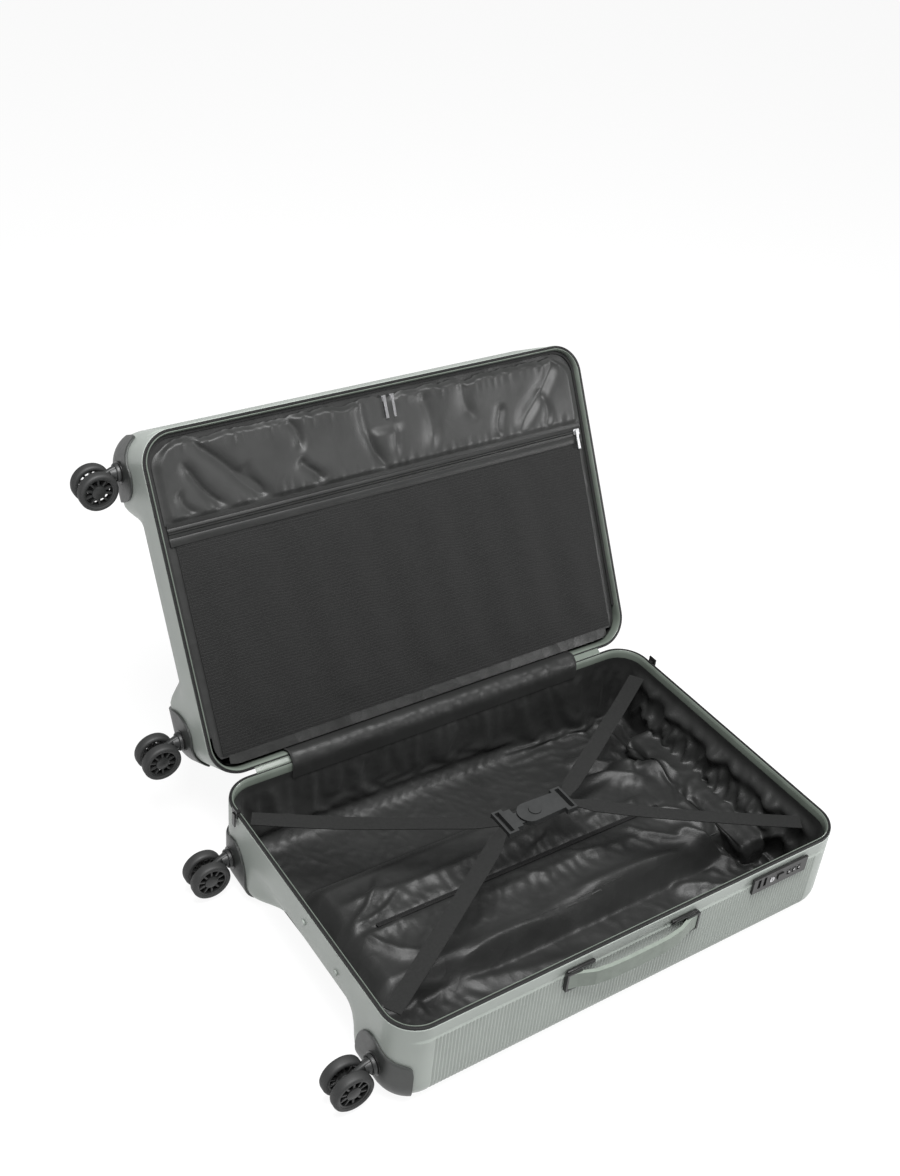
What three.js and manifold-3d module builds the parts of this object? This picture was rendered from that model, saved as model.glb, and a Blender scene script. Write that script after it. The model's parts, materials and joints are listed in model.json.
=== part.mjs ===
// Hard shell suitcase on four twin-wheel casters, lying open on its back. Millimetres, +Z up.
// +X runs along the case from the wheel end to the handle end, +Y from the lock side to the hinge side.
// The origin is the centre of the flat back face, which rests on the floor.
import * as THREE from "three";
import Module from "manifold-3d";

const wasm = await Module();
wasm.setup();
const { Manifold } = wasm;

// ---- driving dimensions ----
const LENGTH = 700;
const WIDTH = 466;
const DEPTH = 140; // one half, from its outer face to the plane where the two zips meet
const CORNER_R = 45; // upright corners
const EDGE_R = 35; // edge between the walls and the big face
const SHELL_T = 2.6;
const CORNER_STEPS = 7;
const EDGE_STEPS = 5;
const LINING_STEPS = 3;
const GAP = 0.3; // between pieces that touch
const ZIP_HALF_GAP = 1.2; // half the slot that the slider's neck runs in
const SHELL_TOP = DEPTH - 5;

// Below TAPER.top the wheel-end wall leans in between the casters, fully within full and not at all past none.
const TAPER = { top: 88, slope: 0.44, full: 100, none: 142, steps: 3 };

const HINGE_Y = WIDTH / 2 + 2;
const LID_OPEN_DEG = 118.4; // as it stands at rest, from closed

const ZIP_OUT = -0.6; // offsets from the shell's outer face, negative inward
const ZIP_IN = -4.0;
const BAND_OUT = -4.3;
const BAND_IN = -7.0;
const BAND_LOW = DEPTH - 28;
const BAND_TOP = DEPTH - 1.6;
const LINING_OUT = -4.3;
const LINING_T = 1.2;

const CASTER = { side: 46, height: 50, reach: 38, trail: 14 };
const WHEEL = { r: 27, inner: 5, outer: 20, bore: 3.4, blind: 17, holes: 10, holeLow: 10.5, holeHigh: 19 };
const FORK = { discR: 13, discX: 4, discT: 5.5, web: 4, stemR: 5, axleR: 3, axleHalf: 16.5, bossR: 9 };
const HOUSING_T = 3;

const TUBE = { y: 70, z: 24, start: -250 };
const TRAY = { x: 296, y: 128, low: 6, high: 42, wall: 2.6, proud: 0.8 };
const GRIP = { y: 112, depth: 24, outer: 345, half: 11.5, legIn: 58 };

const LOCK = { x: 233, z: 113, long: 96, tall: 25, proud: 4, dialR: 4.4 };
const SIDE_HANDLE = { x: -14, z: 105, long: 204, tall: 24, bow: 17, thick: 5, foot: 2.4, bracket: 22 };
const TOP_HANDLE = { z: 97, long: 180, tall: 22, bow: 16, thick: 5, foot: GAP };

const STRAP = { wide: 28, thick: 1.2, low: 116, high: 129.5 };
const BUCKLE = { z: 131, socketLong: 58, wide: 36, thick: 8 };

// Distances from the hinge line, except deep, which is into the lid, and cornerX, which is along X.
const DIVIDER = { hem: 12, deep: 11, thick: 2.2, pocketLow: 30, zipLow: 323, zipHigh: 347, cornerX: 320, cornerHigh: 27 };
const GUSSET = { half: 240, tall: 20, thick: 1.2 };

const COLOURS = {
  shell: 0xa5aca5,
  band: 0x7d857d,
  zip: 0x1c1d1c,
  lining: 0x3b3c3b,
  webbing: 0x454645,
  plastic: 0x3a3b3b,
  wheel: 0x4a4b4b,
  lock: 0x2a2b2b,
  dial: 0x151515,
  silver: 0xb9bbbb,
  tube: 0x9a9d9f,
  mesh: 0x333433,
};

const group = new THREE.Group();
group.name = "suitcase";

// ---- solids ----
const box = (x0, x1, y0, y1, z0, z1) => Manifold.cube([x1 - x0, y1 - y0, z1 - z0]).translate([x0, y0, z0]);
const boxAt = (x, y, z, dx, dy, dz) => Manifold.cube([dx, dy, dz], true).translate([x, y, z]);
const cylX = (x0, x1, y, z, r, steps) =>
  Manifold.cylinder(x1 - x0, r, r, steps).rotate([0, 90, 0]).translate([x0, y, z]);
const cylY = (x, y0, y1, z, r, steps) =>
  Manifold.cylinder(y1 - y0, r, r, steps).rotate([-90, 0, 0]).translate([x, y0, z]);
const cylZ = (x, y, z0, z1, r, steps) => Manifold.cylinder(z1 - z0, r, r, steps).translate([x, y, z0]);
const union = (parts) => parts.reduce((a, b) => a.add(b));

/**
 * Closed solid from rows of points of equal length: the last row joined to the first, or both capped.
 * The second half of the rows takes the other diagonal, so that both faces of a thin wall bend alike.
 */
function solidFromRows(rows, { loop = false, strips = false } = {}) {
  const n = rows[0].length;
  const points = rows.flat();
  const tris = [];
  const last = loop ? rows.length : rows.length - 1;
  for (let i = 0; i < last; i += 1) {
    for (let j = 0; j < n; j += 1) {
      const a = i * n + j;
      const b = i * n + ((j + 1) % n);
      const c = ((i + 1) % rows.length) * n + ((j + 1) % n);
      const d = ((i + 1) % rows.length) * n + j;
      tris.push(...(i < rows.length / 2 ? [a, b, c, a, c, d] : [a, b, d, b, c, d]));
    }
  }
  const end = (rows.length - 1) * n;
  if (strips) {
    capStrip(tris, 0, n, true);
    capStrip(tris, end, n, false);
  } else if (!loop) {
    capRow(points, tris, 0, n, true);
    capRow(points, tris, end, n, false);
  }
  const mesh = new wasm.Mesh({
    numProp: 3,
    vertProperties: new Float32Array(points.flat()),
    triVerts: new Uint32Array(tris),
  });
  return new Manifold(mesh);
}

/** Closes a row that runs up one side of a thin strip and back down the other. */
function capStrip(tris, first, n, flip) {
  for (let j = 0; j < n / 2 - 1; j += 1) {
    const a = first + j;
    const b = a + 1;
    const c = first + n - 2 - j;
    const d = c + 1;
    tris.push(...(flip ? [a, c, b, a, d, c] : [a, b, c, a, c, d]));
  }
}

/** Closes one row of points with a fan around their mean. */
function capRow(points, tris, first, n, flip) {
  const mean = [0, 1, 2].map((k) => points.slice(first, first + n).reduce((s, p) => s + p[k], 0) / n);
  const centre = points.length;
  points.push(mean);
  for (let j = 0; j < n; j += 1) {
    const a = first + j;
    const b = first + ((j + 1) % n);
    tris.push(...(flip ? [centre, b, a] : [centre, a, b]));
  }
}

/** Unit direction and centre of the case's four upright corners, counter-clockwise from +X +Y. */
const cornerCentre = (k) => [
  (k === 0 || k === 3 ? 1 : -1) * (LENGTH / 2 - CORNER_R),
  (k < 2 ? 1 : -1) * (WIDTH / 2 - CORNER_R),
];

function cornerPoint(k, turn, inset, z) {
  const [cx, cy] = cornerCentre(k);
  const angle = THREE.MathUtils.degToRad(90 * k + turn);
  const r = CORNER_R - inset;
  return [cx + r * Math.cos(angle), cy + r * Math.sin(angle), z];
}

/** How far the rounded edge alone has drawn the wall in at height z. */
function edgeInset(z) {
  const below = THREE.MathUtils.clamp(EDGE_R - z, 0, EDGE_R);
  return EDGE_R - Math.sqrt(EDGE_R ** 2 - below ** 2);
}

/** Further inset of the wheel-end wall where it leans in. */
const taperShift = (z) => Math.max(TAPER.slope * (TAPER.top - z) - edgeInset(z), 0);

/** The wheel-end wall between its two corners, from +Y to -Y. */
function wheelEndWall(inset, z) {
  const points = [];
  for (let i = 0; i <= TAPER.steps; i += 1) {
    const share = i / TAPER.steps;
    const y = TAPER.none + share * (TAPER.full - TAPER.none);
    const x = -LENGTH / 2 + inset + THREE.MathUtils.smoothstep(share, 0, 1) * taperShift(z);
    points.push([x, y, z]);
  }
  const mirrored = points.map(([x, y]) => [x, -y, z]).reverse();
  return [...points, ...mirrored];
}

/** The case's outline at height z, drawn in by inset. */
function outline(inset, z) {
  const points = [];
  for (let k = 0; k < 4; k += 1) {
    for (let i = 0; i <= CORNER_STEPS; i += 1) {
      points.push(cornerPoint(k, (90 * i) / CORNER_STEPS, inset, z));
    }
    if (k === 1) points.push(...wheelEndWall(inset, z));
  }
  return points;
}

/** Inset and height pairs up the wall of a half shell offset by off, round its edge and on to the top. */
function wallProfile(off, top, steps = EDGE_STEPS) {
  const rows = [];
  for (let i = 0; i <= steps; i += 1) {
    const a = THREE.MathUtils.degToRad(90 * (1 - i / steps));
    rows.push([EDGE_R - (EDGE_R + off) * Math.cos(a), EDGE_R - (EDGE_R + off) * Math.sin(a)]);
  }
  if (top > TAPER.top) rows.push([-off, TAPER.top]);
  rows.push([-off, top]);
  return rows;
}

/** An open half shell between two offsets. */
function tray(outer, inner, top, steps = EDGE_STEPS) {
  const up = wallProfile(outer, top, steps).map(([inset, z]) => outline(inset, z));
  const down = wallProfile(inner, top, steps).reverse().map(([inset, z]) => outline(inset, z));
  return solidFromRows([...up, ...down]);
}

const filled = (off, top, steps = EDGE_STEPS) =>
  solidFromRows(wallProfile(off, top, steps).map(([inset, z]) => outline(inset, z)));

/** A band that runs round the whole outline. */
function ring(outer, inner, low, high) {
  const rows = [
    outline(-outer, low),
    outline(-outer, high),
    outline(-inner, high),
    outline(-inner, low),
  ];
  return solidFromRows(rows, { loop: true });
}

// ---- placing ----
function addNode(name, solid, colour, roughness = 0.5, metalness = 0) {
  const mesh = solid.getMesh();
  const geometry = new THREE.BufferGeometry();
  const points = [];
  for (let i = 0; i < mesh.numVert; i += 1) {
    points.push(...mesh.vertProperties.slice(i * mesh.numProp, i * mesh.numProp + 3));
  }
  geometry.setAttribute("position", new THREE.Float32BufferAttribute(points, 3));
  geometry.setIndex(Array.from(mesh.triVerts));
  geometry.computeVertexNormals();
  const material = new THREE.MeshStandardMaterial({ color: colour, roughness, metalness });
  const node = new THREE.Mesh(geometry, material);
  node.name = name;
  group.add(node);
}

/** A solid of the base half, mirrored to the closed lid. */
const toLid = (solid) => solid.mirror([0, 0, 1]).translate([0, 0, 2 * DEPTH]);

/** A solid of the closed lid, swung open about the hinge line. */
const swingOpen = (solid) =>
  solid
    .translate([0, -HINGE_Y, -DEPTH])
    .rotate([-LID_OPEN_DEG, 0, 0])
    .translate([0, HINGE_Y, DEPTH]);

function swungPoint(y, z) {
  const a = THREE.MathUtils.degToRad(LID_OPEN_DEG);
  const s = HINGE_Y - y;
  const d = z - DEPTH;
  return [HINGE_Y - s * Math.cos(a) + d * Math.sin(a), DEPTH + s * Math.sin(a) + d * Math.cos(a)];
}

// ---- the two half shells with what is sewn into them ----
function baseShell() {
  const opening = box(TRAY.x - 16, LENGTH / 2 + 5, -TRAY.y - GAP, TRAY.y + GAP, TRAY.low - GAP, TRAY.high + GAP);
  const lockHole = box(LOCK.x + 9, LOCK.x + 41, -WIDTH / 2 - 2, -WIDTH / 2 + 4, LOCK.z - 5.5, LOCK.z + 5.5);
  return tray(0, -SHELL_T, SHELL_TOP).subtract(opening).subtract(lockHole);
}

/** The lining cup, raised over the trolley's tubes and its recess. */
function baseLining() {
  const cup = tray(LINING_OUT, LINING_OUT - LINING_T, BAND_LOW - GAP, LINING_STEPS);
  const inside = filled(LINING_OUT - 0.01, BAND_LOW - GAP, LINING_STEPS);
  let raised = cup;
  const humps = [
    [TUBE.start - 12, TRAY.x - 4, TUBE.y - 14, TUBE.y + 14, TUBE.z + 11],
    [TUBE.start - 12, TRAY.x - 4, -TUBE.y - 14, -TUBE.y + 14, TUBE.z + 11],
    [TRAY.x - 5, LENGTH / 2, -TRAY.y - 4, TRAY.y + 4, TRAY.high + 4],
  ];
  for (const [x0, x1, y0, y1, top] of humps) {
    raised = raised.add(box(x0, x1, y0, y1, 0, top).intersect(inside));
  }
  for (const [x0, x1, y0, y1, top] of humps) {
    const t = LINING_T;
    raised = raised.subtract(box(x0 + t, x1 + t, y0 + t, y1 - t, -1, top - t));
  }
  return raised;
}

function addBaseHalf() {
  addNode("base_shell", baseShell(), COLOURS.shell, 0.45);
  addNode("base_rim_band", ring(BAND_OUT, BAND_IN, BAND_LOW, BAND_TOP), COLOURS.band, 0.4);
  addNode("base_zip_tape", ring(ZIP_OUT, ZIP_IN, SHELL_TOP + GAP, DEPTH - ZIP_HALF_GAP), COLOURS.zip, 0.8);
  addNode("base_lining", baseLining(), COLOURS.lining, 0.4);
  addNode("hinge_gusset_base", gusset(), COLOURS.lining, 0.5);
  const seamZ = -LINING_OUT + LINING_T + GAP;
  addNode("lining_access_zip", box(-215, 200, -4, 4, seamZ, seamZ + 1.4), COLOURS.zip, 0.7);
  addNode("lining_pocket_slider", liningPocketSlider(), COLOURS.silver, 0.3, 0.9);
}

function gusset() {
  const y = WIDTH / 2 + BAND_IN - GAP;
  return box(-GUSSET.half, GUSSET.half, y - GUSSET.thick, y, DEPTH - 3 - GUSSET.tall, DEPTH - 3);
}

/** Slider with its pull hanging on the inner end wall, just under the rim band. */
function liningPocketSlider() {
  const x = LENGTH / 2 + LINING_OUT - LINING_T - GAP;
  const z = BAND_LOW - 10;
  const body = box(x - 3, x, 4, 14, z - 3, z + 3);
  const pull = box(x - 4.6, x - 3, 6.5, 11.5, z - 20, z + 1);
  return body.add(pull);
}

function addLidHalf() {
  const place = (solid) => swingOpen(toLid(solid));
  addNode("lid_shell", place(tray(0, -SHELL_T, SHELL_TOP)), COLOURS.shell, 0.45);
  addNode("lid_rim_band", place(ring(BAND_OUT, BAND_IN, BAND_LOW, BAND_TOP)), COLOURS.band, 0.4);
  const tape = ring(ZIP_OUT, ZIP_IN, SHELL_TOP + GAP, DEPTH - ZIP_HALF_GAP);
  addNode("lid_zip_tape", place(tape), COLOURS.zip, 0.8);
  const cup = tray(LINING_OUT, LINING_OUT - LINING_T, BAND_LOW - GAP, LINING_STEPS);
  addNode("lid_lining", place(cup), COLOURS.lining, 0.4);
  addNode("hinge_gusset_lid", place(gusset()), COLOURS.lining, 0.5);
}

// ---- casters ----
/** Upper edge of a corner housing, from its end-wall wing round the corner. */
const HOUSING_STOPS = {
  endWall: [
    { y: -145, top: 46 },
    { y: -155, top: 76 },
    { y: -167, top: 86 },
    { y: -179, top: 88 },
    { y: -187.5, top: 86 },
  ],
  cornerTops: [84, 79, 75, 73, 72, 66],
};

/** Cover over one corner of the shell at -X -Y: a wing on the end wall and one round the corner. */
function cornerHousing() {
  const { endWall, cornerTops } = HOUSING_STOPS;
  const skin = (off) => {
    const columns = endWall.map(({ y, top }) =>
      lowProfile(off, top).map(([inset, z]) => [-LENGTH / 2 + inset, y, z]),
    );
    cornerTops.forEach((top, i) => {
      const turn = (90 * i) / CORNER_STEPS;
      columns.push(lowProfile(off, top).map(([inset, z]) => cornerPoint(2, turn, inset, z)));
    });
    return columns;
  };
  const inner = skin(GAP);
  const outer = skin(GAP + HOUSING_T);
  const rows = inner.map((column, i) => [...column, ...outer[i].slice().reverse()]);
  const y = -WIDTH / 2 + CASTER.side;
  const hole = cylX(-LENGTH / 2 - 10, -LENGTH / 2 + 1, y, CASTER.height, FORK.stemR + GAP, 20);
  return solidFromRows(rows, { strips: true }).subtract(hole);
}

/** The lower part of the wall profile: the same facets as the shell, so that the gap is even. */
function lowProfile(off, top) {
  return wallProfile(off, top).slice(2);
}

function fork() {
  const wall = -LENGTH / 2;
  const axleX = wall - CASTER.reach;
  const y = -WIDTH / 2 + CASTER.side;
  const z = CASTER.height;
  const discFar = wall - FORK.discX - FORK.discT;
  const disc = cylX(discFar, wall - FORK.discX, y, z, FORK.discR, 16);
  const stem = cylX(wall - FORK.discX - 1, wall - 1, y, z, FORK.stemR, 10);
  const webRoot = boxAt(discFar, y, z, 2, 2 * FORK.web, 2 * FORK.discR - 2);
  const webEnd = cylY(axleX, y - FORK.web, y + FORK.web, z - CASTER.trail, FORK.bossR, 12);
  const axle = cylY(axleX, y - FORK.axleHalf, y + FORK.axleHalf, z - CASTER.trail, FORK.axleR, 8);
  return union([disc, stem, Manifold.hull([webRoot, webEnd]), axle]);
}

/** One wheel with open spokes, its axle along Y, on the -Y side of the fork. */
function wheel() {
  const x = -LENGTH / 2 - CASTER.reach;
  const y = -WIDTH / 2 + CASTER.side;
  const z = CASTER.height - CASTER.trail;
  const tread = Manifold.hull([
    cylY(x, y - WHEEL.outer, y - WHEEL.inner, z, WHEEL.r - 2.5, 20),
    cylY(x, y - WHEEL.outer + 3, y - WHEEL.inner - 2, z, WHEEL.r, 20),
  ]);
  const bore = cylY(x, y - WHEEL.blind, y, z, WHEEL.bore, 10);
  const spokeHole = (angle) => {
    const wide = 0.34;
    const at = (r, turn, yy) => [x + r * Math.cos(angle + turn), yy, z + r * Math.sin(angle + turn)];
    const corners = [];
    for (const yy of [y - WHEEL.outer - 1, y]) {
      corners.push(at(WHEEL.holeLow, wide / 2, yy), at(WHEEL.holeLow, -wide / 2, yy));
      corners.push(at(WHEEL.holeHigh, wide / 2, yy), at(WHEEL.holeHigh, -wide / 2, yy));
    }
    return Manifold.hull(corners);
  };
  let solid = tread.subtract(bore);
  for (let i = 0; i < WHEEL.holes; i += 1) {
    solid = solid.subtract(spokeHole((2 * Math.PI * i) / WHEEL.holes));
  }
  return solid;
}

function addCaster(name, isLid, isHingeSide) {
  const mirrorY = (solid) => (isHingeSide ? solid.mirror([0, 1, 0]) : solid);
  const fixed = (solid) => (isLid ? swingOpen(toLid(mirrorY(solid))) : mirrorY(solid));
  const y0 = (isHingeSide ? 1 : -1) * (WIDTH / 2 - CASTER.side);
  const [y1, z1] = isLid ? swungPoint(y0, 2 * DEPTH - CASTER.height) : [y0, CASTER.height];
  const hanging = (solid) => solid.translate([0, y1 - (-WIDTH / 2 + CASTER.side), z1 - CASTER.height]);
  const y = -WIDTH / 2 + CASTER.side;
  const farWheel = wheel().translate([0, -y, 0]).mirror([0, 1, 0]).translate([0, y, 0]);
  addNode(`${name}_housing`, fixed(cornerHousing()), COLOURS.plastic, 0.5);
  addNode(`${name}_fork`, hanging(fork()), COLOURS.plastic, 0.5);
  addNode(`${name}_wheel_near`, hanging(wheel()), COLOURS.wheel, 0.6);
  addNode(`${name}_wheel_far`, hanging(farWheel), COLOURS.wheel, 0.6);
}

// ---- trolley ----
const tube = (y, x0, x1, wide, tall) => boxAt((x0 + x1) / 2, y, TUBE.z, x1 - x0, wide, tall);

/** Recess for the grip with the two outer tubes riveted to its back. */
function trolleyHousing() {
  const { x, y, low, high, wall } = TRAY;
  const far = LENGTH / 2 + 10;
  let solid = box(x, far, -y, y, low, high).intersect(filled(TRAY.proud, DEPTH));
  solid = solid.subtract(box(x + wall, far, -y + wall, y - wall, low + wall, high - wall));
  for (const side of [-1, 1]) {
    solid = solid.add(tube(side * TUBE.y, TUBE.start, x + 1, 20, 14));
    solid = solid.subtract(tube(side * TUBE.y, TUBE.start + 2, x + wall + 1, 16.6, 10.6));
  }
  return solid;
}

function trolleyMiddleTube(side) {
  const outer = tube(side * TUBE.y, TUBE.start + 4, TRAY.x + 2, 16, 10);
  return outer.subtract(tube(side * TUBE.y, TUBE.start + 6, TRAY.x + 3, 13, 7));
}

/** Grip bar on two legs, with the inner tubes fixed in the legs. */
function trolleyGrip() {
  const inside = GRIP.outer - GRIP.depth;
  const bar = Manifold.hull([
    box(inside, GRIP.outer - 4, -GRIP.y, GRIP.y, TUBE.z - GRIP.half, TUBE.z + GRIP.half),
    box(inside, GRIP.outer, -GRIP.y + 4, GRIP.y - 4, TUBE.z - GRIP.half + 5, TUBE.z + GRIP.half),
  ]);
  const parts = [bar];
  for (const side of [-1, 1]) {
    const [y0, y1] = [side * GRIP.legIn, side * (TUBE.y + 14)].sort((a, b) => a - b);
    parts.push(box(TRAY.x + TRAY.wall + 2, inside + 1, y0, y1, TUBE.z - 8, TUBE.z + 8));
    parts.push(tube(side * TUBE.y, TUBE.start + 8, TRAY.x + TRAY.wall + 3, 12.4, 6.4));
  }
  const pocket = box(GRIP.outer - 5, GRIP.outer + 1, -16, 16, TUBE.z - 5, TUBE.z + 7);
  return union(parts).subtract(pocket);
}

function addTrolley() {
  addNode("trolley_housing", trolleyHousing(), COLOURS.plastic, 0.5);
  addNode("trolley_middle_tube_lock_side", trolleyMiddleTube(-1), COLOURS.tube, 0.35, 0.8);
  addNode("trolley_middle_tube_hinge_side", trolleyMiddleTube(1), COLOURS.tube, 0.35, 0.8);
  addNode("trolley_grip", trolleyGrip(), COLOURS.plastic, 0.45);
  const button = boxAt(GRIP.outer - 0.5, 0, TUBE.z + 1, 4, 31, 11);
  addNode("trolley_button", button, COLOURS.lock, 0.4);
}

// ---- carry handles ----
/** A bowed grip along X standing off a wall at y = 0 toward -Y, with flat feet at both ends. */
function bowedGrip({ long, tall, bow, thick, foot }) {
  const steps = 8;
  const footLong = 12;
  const footThick = 3;
  const half = long / 2 - footLong;
  const curve = (lift) => {
    const points = [];
    for (let i = 0; i <= steps; i += 1) {
      const u = -1 + (2 * i) / steps;
      points.push([u * half, -foot - (bow - thick) * (1 - u ** 4) - lift]);
    }
    return points;
  };
  const near = [[-long / 2, -foot], ...curve(0), [long / 2, -foot]];
  const far = [[-long / 2, -foot - footThick], ...curve(thick), [long / 2, -foot - footThick]];
  const rows = near.map(([x, y], i) => [
    [x, y, -tall / 2],
    [x, y, tall / 2],
    [far[i][0], far[i][1], tall / 2],
    [far[i][0], far[i][1], -tall / 2],
  ]);
  return solidFromRows(rows);
}

/** Black end bracket with a slot that the grip's foot slides in. */
function handleBracket(side) {
  const { x, z, long, tall, bracket } = SIDE_HANDLE;
  const wall = -WIDTH / 2 - GAP;
  const end = x + side * (long / 2 - bracket / 2 + 3);
  const block = boxAt(end, wall - 3, z, bracket, 6, tall + 5);
  const slotX = end - side * 2.6;
  const slot = boxAt(slotX, wall - 4.8, z, bracket, 7, tall + 0.8);
  return block.subtract(slot);
}

function addHandles() {
  const { x, z } = SIDE_HANDLE;
  addNode("side_handle_bracket_wheel_end", handleBracket(-1), COLOURS.lock, 0.5);
  addNode("side_handle_bracket_top_end", handleBracket(1), COLOURS.lock, 0.5);
  addNode("side_handle", bowedGrip(SIDE_HANDLE).translate([x, -WIDTH / 2, z]), COLOURS.band, 0.5);
  const top = bowedGrip(TOP_HANDLE).rotate([0, 0, 90]).translate([LENGTH / 2, 0, TOP_HANDLE.z]);
  addNode("top_handle", top, COLOURS.band, 0.5);
}

// ---- lock ----
const LOCK_START = LOCK.x - LOCK.long / 2;
const DIAL_X = [63, 72, 81].map((along) => LOCK_START + along);
const KEY_X = LOCK_START + 33;
const RELEASE_X = LOCK_START + 48;

function lockPlate() {
  const wall = -WIDTH / 2 - GAP;
  const face = -WIDTH / 2 - LOCK.proud;
  let solid = box(LOCK_START, LOCK_START + LOCK.long, face, wall, LOCK.z - LOCK.tall / 2, LOCK.z + LOCK.tall / 2);
  for (const x of DIAL_X) {
    solid = solid.subtract(boxAt(x, face, LOCK.z, 5.6, 12, 2 * LOCK.dialR + 0.6));
  }
  for (const along of [10, 20]) {
    solid = solid.subtract(boxAt(LOCK_START + along, face, LOCK.z + 2, 5, 4, 15));
  }
  solid = solid.subtract(cylY(KEY_X, face - 1, face + 2.6, LOCK.z, 4.6, 20));
  return solid.subtract(boxAt(RELEASE_X, face, LOCK.z, 11, 5.6, 9));
}

function addLock() {
  const face = -WIDTH / 2 - LOCK.proud;
  addNode("lock_plate", lockPlate(), COLOURS.lock, 0.4);
  DIAL_X.forEach((x, i) => {
    const dial = cylX(x - 2.4, x + 2.4, -WIDTH / 2 - 0.5, LOCK.z, LOCK.dialR, 20);
    addNode(`lock_dial_${i + 1}`, dial, COLOURS.dial, 0.4);
  });
  const key = cylY(KEY_X, face - 0.6, face + 2.2, LOCK.z, 4.2, 20);
  const keyway = boxAt(KEY_X, face - 0.6, LOCK.z, 1.4, 2.4, 5);
  addNode("lock_key_barrel", key.subtract(keyway), COLOURS.silver, 0.3, 0.9);
  addNode("lock_release_button", boxAt(RELEASE_X, face - 0.2, LOCK.z, 10.2, 2.8, 8.2), COLOURS.lock, 0.35);
}

// ---- main zip sliders ----
/** Slider of the main zip at the wheel end: plate outside, neck in the slot, pull hanging down the wall. */
function mainSlider() {
  const wall = -LENGTH / 2;
  const y = 176;
  const neck = box(wall - 1, wall + 5, y - 3, y + 3, DEPTH - 0.7, DEPTH + 0.7);
  const plate = box(wall - 2.4, wall - 0.5, y - 7, y + 7, DEPTH - 6, DEPTH + 6);
  const pull = box(wall - 4.2, wall - 2.3, y - 3.5, y + 3.5, DEPTH - 22, DEPTH - 1);
  return union([neck, plate, pull]);
}

function addMainSliders() {
  addNode("zip_slider_wheel_end", mainSlider(), COLOURS.silver, 0.3, 0.9);
  addNode("zip_slider_top_end", mainSlider().mirror([1, 0, 0]), COLOURS.silver, 0.3, 0.9);
}

// ---- cross straps and their buckle ----
/** Webbing from a corner of the lining to the middle of the buckle's end bar. */
function strap(signX, signY, barX) {
  const anchor = new THREE.Vector3(signX * 327, signY * 178, STRAP.low);
  const bar = new THREE.Vector3(barX, signY * 9.2, STRAP.high);
  const along = bar.clone().sub(anchor).normalize();
  const side = new THREE.Vector3(-along.y, along.x, 0).normalize();
  const up = new THREE.Vector3(0, 0, 1);
  const row = (centre, across, wide) => {
    const corner = (w, t) =>
      centre.clone().addScaledVector(across, w * wide).addScaledVector(up, t * STRAP.thick).toArray();
    return [corner(-0.5, -0.5), corner(0.5, -0.5), corner(0.5, 0.5), corner(-0.5, 0.5)];
  };
  const mouth = new THREE.Vector3(0, Math.sign(side.y), 0);
  const gather = anchor.clone().lerp(bar, 0.93);
  return solidFromRows([row(anchor, side, STRAP.wide), row(gather, side, STRAP.wide * 0.92), row(bar, mouth, 17)]);
}

/** Frame with a cross bar at the end of either half of the buckle. */
function buckleFrame(x, sign) {
  const { z, wide, thick } = BUCKLE;
  const half = thick / 2;
  const frame = boxAt(x, 0, z, 16, wide + 8, thick);
  return frame.subtract(boxAt(x + sign * 1.5, 0, z, 7, wide + 2, thick + 2 * half));
}

function buckleSocket() {
  const { z, wide, thick, socketLong } = BUCKLE;
  const mid = 14;
  const shell = Manifold.hull([
    boxAt(mid, 0, z, socketLong, wide - 4, thick),
    cylZ(-6, 0, z - thick / 2, z + thick / 2, wide / 2, 24),
  ]);
  const mouth = box(-40, 20, -12, 12, z - 2.6, z + 2.6);
  const well = cylZ(2, 0, z + 1, z + thick, 9, 24);
  return shell.add(buckleFrame(mid + socketLong / 2 + 7, 1)).subtract(mouth).subtract(well);
}

function bucklePlug() {
  const { z, wide, thick } = BUCKLE;
  const frame = buckleFrame(-46, -1);
  const shoulder = boxAt(-34, 0, z, 12, wide - 2, thick);
  const tongue = box(-29, 8, -10.5, 10.5, z - 2, z + 0.4);
  return union([frame, shoulder, tongue]);
}

function addStraps() {
  const socketBar = 58.6;
  const plugBar = -54.6;
  addNode("strap_wheel_end_lock_side", strap(-1, -1, plugBar), COLOURS.webbing, 0.8);
  addNode("strap_wheel_end_hinge_side", strap(-1, 1, plugBar), COLOURS.webbing, 0.8);
  addNode("strap_top_end_lock_side", strap(1, -1, socketBar), COLOURS.webbing, 0.8);
  addNode("strap_top_end_hinge_side", strap(1, 1, socketBar), COLOURS.webbing, 0.8);
  addNode("buckle_socket", buckleSocket(), COLOURS.plastic, 0.45);
  addNode("buckle_plug", bucklePlug(), COLOURS.plastic, 0.45);
  addNode("buckle_button", cylZ(2, 0, BUCKLE.z + 2.9, BUCKLE.z + 5.6, 8.6, 24), COLOURS.plastic, 0.4);
}

// ---- divider in the lid ----
/** Plate in the closed lid's frame: along X, out from the hinge line, and deep into the lid. */
const lidPlate = (x0, x1, s0, s1, d0, d1) =>
  box(x0, x1, HINGE_Y - s1, HINGE_Y - s0, DEPTH + d0, DEPTH + d1);

/** The panel, with its hinge-side corners cut away so that it clears the rim band as it swings out. */
function dividerPanel() {
  const { hem, deep, thick, cornerX, cornerHigh } = DIVIDER;
  let panel = solidFromRows([outline(hem, DEPTH + deep), outline(hem, DEPTH + deep + thick)]);
  for (const [x0, x1] of [[-LENGTH, -cornerX], [cornerX, LENGTH]]) {
    panel = panel.subtract(lidPlate(x0, x1, 0, cornerHigh, deep - 1, deep + thick + 1));
  }
  return panel;
}

function dividerSlider(x) {
  const s = WIDTH - DIVIDER.hem - 8;
  const front = DIVIDER.deep - GAP;
  const body = lidPlate(x - 3.5, x + 3.5, s - 4, s + 4, front - 3, front);
  return body.add(lidPlate(x - 2.2, x + 2.2, s - 28, s + 2, front - 4.6, front - 3));
}

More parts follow.
